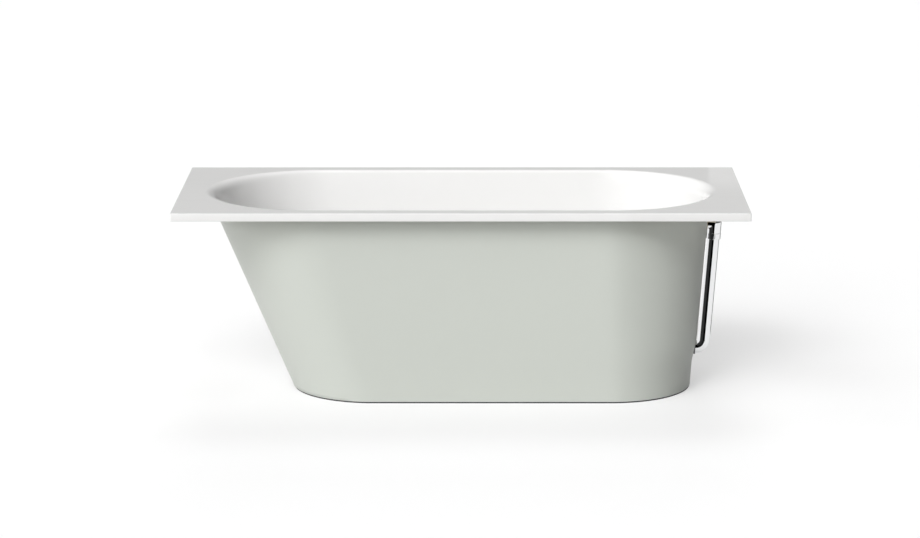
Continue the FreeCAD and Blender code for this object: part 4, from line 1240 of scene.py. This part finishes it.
class BATH_OT_stage(bpy.types.Operator):
    """Set up the floor, the lamps, the air and the camera"""
    bl_idname = "bath.stage"
    bl_label = "Stage"

    def execute(self, context):
        scene = context.scene
        studio = scene.bath_studio
        self.floor(studio)
        self.cards(scene, studio)
        self.lamps(studio)
        self.air(scene, studio)
        self.camera(scene, studio)
        scene.view_settings.view_transform = "Standard"
        return {"FINISHED"}

    def floor(self, studio):
        """Wide disc that is whiter to the camera and in reflections than it is in light."""
        bm = bmesh.new()
        bmesh.ops.create_circle(bm, cap_ends=True, segments=96, radius=studio.floor_reach)
        floor = new_object("studio_floor", bm)
        s = new_shader("studio_floor")
        path = s.join("MAXIMUM", s.ray("Is Camera Ray"), s.ray("Is Glossy Ray"))
        grey = (*[studio.floor_grey] * 3, 1.0)
        shade = s.add("ShaderNodeBsdfDiffuse", {}, {"Color": grey})
        glow = s.glow(path * studio.floor_lift)
        floor.data.materials.append(s.show(s.add("ShaderNodeAddShader", {}, {0: shade, 1: glow})))

    def cards(self, scene, studio):
        """Glowing cards seen only in reflections, which paint light and dark strips into the pipe:
        painted reflections; each is clear from its other side.
        """
        place = Overflow(scene)
        pipe = place.frame @ Vector((place.axis, 0.0, 0.0))
        reach = studio.card_reach
        for name, level, start, sweep in (("dark_painted_reflection", 0.0, -30.0, 41.0),
                                          ("grey_painted_reflection", 0.35, 118.0, 60.0)):
            turns = [math.radians(start + sweep * step / CARD_STEPS)
                     for step in range(CARD_STEPS + 1)]
            foot = [(pipe.x + reach * math.sin(turned), -reach * math.cos(turned), 0.0)
                    for turned in turns]
            self.card(name, level, foot, Vector((0.0, 0.0, studio.card_height)), pipe)
        rise = Vector((pipe.x - place.corner.x, 0.0, pipe.z - place.pipe_z))
        strip = scene.bath_waste.pipe_radius * studio.strip
        away = pipe + Vector((FAR, 0.0, 0.0))
        # The white strip down the pipe's side is a painted reflection from this glowing card.
        for name, level, start, end in (("white_painted_reflection", 1.0, -strip, strip),
                                        ("side_painted_reflection", 0.035, -strip, -studio.side_reach),
                                        ("side_painted_reflection", 0.035, strip, studio.side_reach)):
            self.card(name, level, self.arc(scene, place, start, end), rise, away)

    def arc(self, scene, place, start, end):
        """Points close round the skirt's foot end, between two distances from its middle."""
        basin, pipe_radius = scene.bath_basin, scene.bath_waste.pipe_radius
        half = basin.rim_width / 2 - basin.side_margin - CARD_INSET
        back = place.corner.x - pipe_radius - CARD_GAP
        points = []
        for step in range(CARD_STEPS + 1):
            y = start + (end - start) * step / CARD_STEPS
            points.append((back - half + math.sqrt(half ** 2 - y ** 2), y, place.pipe_z))
        return points

    def card(self, name, level, foot, rise, faces):
        """Upright card on the points of its foot that faces a given point."""
        bm = bmesh.new()
        rows = [[bm.verts.new(Vector(point) + rise * step) for point in foot] for step in (0, 1)]
        for i in range(len(foot) - 1):
            face = bm.faces.new([rows[0][i], rows[0][i + 1], rows[1][i + 1], rows[1][i]])
            face.normal_update()
            if face.normal.dot(faces - face.calc_center_median()) < 0.0:
                face.normal_flip()
        card = new_object(name, bm)
        s = new_shader(name)
        behind = s.add("ShaderNodeNewGeometry", {}, {}, "Backfacing")
        clear = s.add("ShaderNodeBsdfTransparent", {}, {})
        # The front glows at its level and only glossy rays see it, a painted reflection; the back
        # is clear.
        card.data.materials.append(s.show(
            s.add("ShaderNodeMixShader", {}, {0: behind, 1: s.glow(level), 2: clear})))
        card.visible_camera = False
        card.visible_diffuse = False
        card.visible_shadow = False
        card.visible_transmission = False

    def lamps(self, studio):
        """Suns; only those from the head end show in the gloss."""
        plan = (
            ("key_lamp", studio.key, -30.0, 44.0),
            ("low_key_lamp", studio.key_low, -30.0, 24.0),
            ("fill_lamp", studio.fill, -10.0, 44.0),
            ("low_fill_lamp", studio.fill_low, -10.0, 8.0),
            ("top_lamp", studio.top, 10.0, 66.0),
            ("side_lamp", studio.side, -55.0, 44.0),
            ("low_side_lamp", studio.side_low, -80.0, 8.0),
            ("rear_lamp", studio.rear, -110.0, 45.0),
            ("back_lamp", studio.back, 180.0, 30.0),
            ("high_back_lamp", studio.back_high, 180.0, 60.0),
        )
        for name, power, azimuth, elevation in plan:
            data = bpy.data.lights.new(name, "SUN")
            data.energy = power
            data.angle = studio.spread
            lamp = linked(name, data)
            lamp.visible_glossy = MIRRORED[0] < azimuth < MIRRORED[1]
            lamp.rotation_mode = "QUATERNION"
            towards = heading(math.radians(azimuth), math.radians(elevation))
            lamp.rotation_quaternion = towards.to_track_quat("Z", "Y")

    def air(self, scene, studio):
        """White to the camera, dim in reflections, dark as a light."""
        scene.world = bpy.data.worlds.new("studio_air")
        s = Shader(scene.world, "ShaderNodeOutputWorld")
        level = s.join("MAXIMUM", s.ray("Is Camera Ray"), s.ray("Is Glossy Ray") * studio.air)
        s.show(s.glow(level, "ShaderNodeBackground"))

    def camera(self, scene, studio):
        data = bpy.data.cameras.new("camera")
        data.lens = studio.focal
        data.sensor_width = studio.sensor
        data.clip_end = studio.sight
        camera = linked("camera", data)
        behind = heading(-studio.yaw, studio.pitch)
        right = Vector((0.0, 0.0, 1.0)).cross(behind).normalized()
        axes = Matrix((right, behind.cross(right), behind)).transposed()
        axes = Matrix.Rotation(studio.roll, 3, -behind) @ axes
        camera.matrix_world = Matrix.Translation(studio.stand) @ axes.to_4x4()
        scene.camera = camera


class BATH_PT_panel(bpy.types.Panel):
    """Lists the steps that dress the bathtub"""
    bl_idname = "BATH_PT_panel"
    bl_label = "Bathtub"
    bl_space_type = "VIEW_3D"
    bl_region_type = "UI"
    bl_category = "Bathtub"

    def draw(self, context):
        for operator in OPERATORS:
            self.layout.operator(operator.bl_idname)


GROUPS = {
    "bath_basin": BasinSizes,
    "bath_skirt": SkirtSizes,
    "bath_waste": WasteSizes,
    "bath_feet": FootSizes,
    "bath_finishes": Finishes,
    "bath_studio": Studio,
}

OPERATORS = (
    BATH_OT_finishes,
    BATH_OT_basin,
    BATH_OT_skirt,
    BATH_OT_overflow_pipe,
    BATH_OT_overflow_knob,
    BATH_OT_drain,
    BATH_OT_feet,
    BATH_OT_stage,
)


def register():
    for name, group in GROUPS.items():
        bpy.utils.register_class(group)
        setattr(bpy.types.Scene, name, bpy.props.PointerProperty(type=group))
    for operator in OPERATORS:
        bpy.utils.register_class(operator)
    bpy.utils.register_class(BATH_PT_panel)


def unregister():
    bpy.utils.unregister_class(BATH_PT_panel)
    for operator in reversed(OPERATORS):
        bpy.utils.unregister_class(operator)
    for name, group in reversed(GROUPS.items()):
        delattr(bpy.types.Scene, name)
        bpy.utils.unregister_class(group)


def main():
    register()
    bpy.ops.bath.finishes()
    bpy.ops.bath.basin()
    bpy.ops.bath.skirt()
    bpy.ops.bath.overflow_pipe()
    bpy.ops.bath.overflow_knob()
    bpy.ops.bath.drain()
    bpy.ops.bath.feet()
    bpy.ops.bath.stage()


if __name__ == "__main__":
    main()
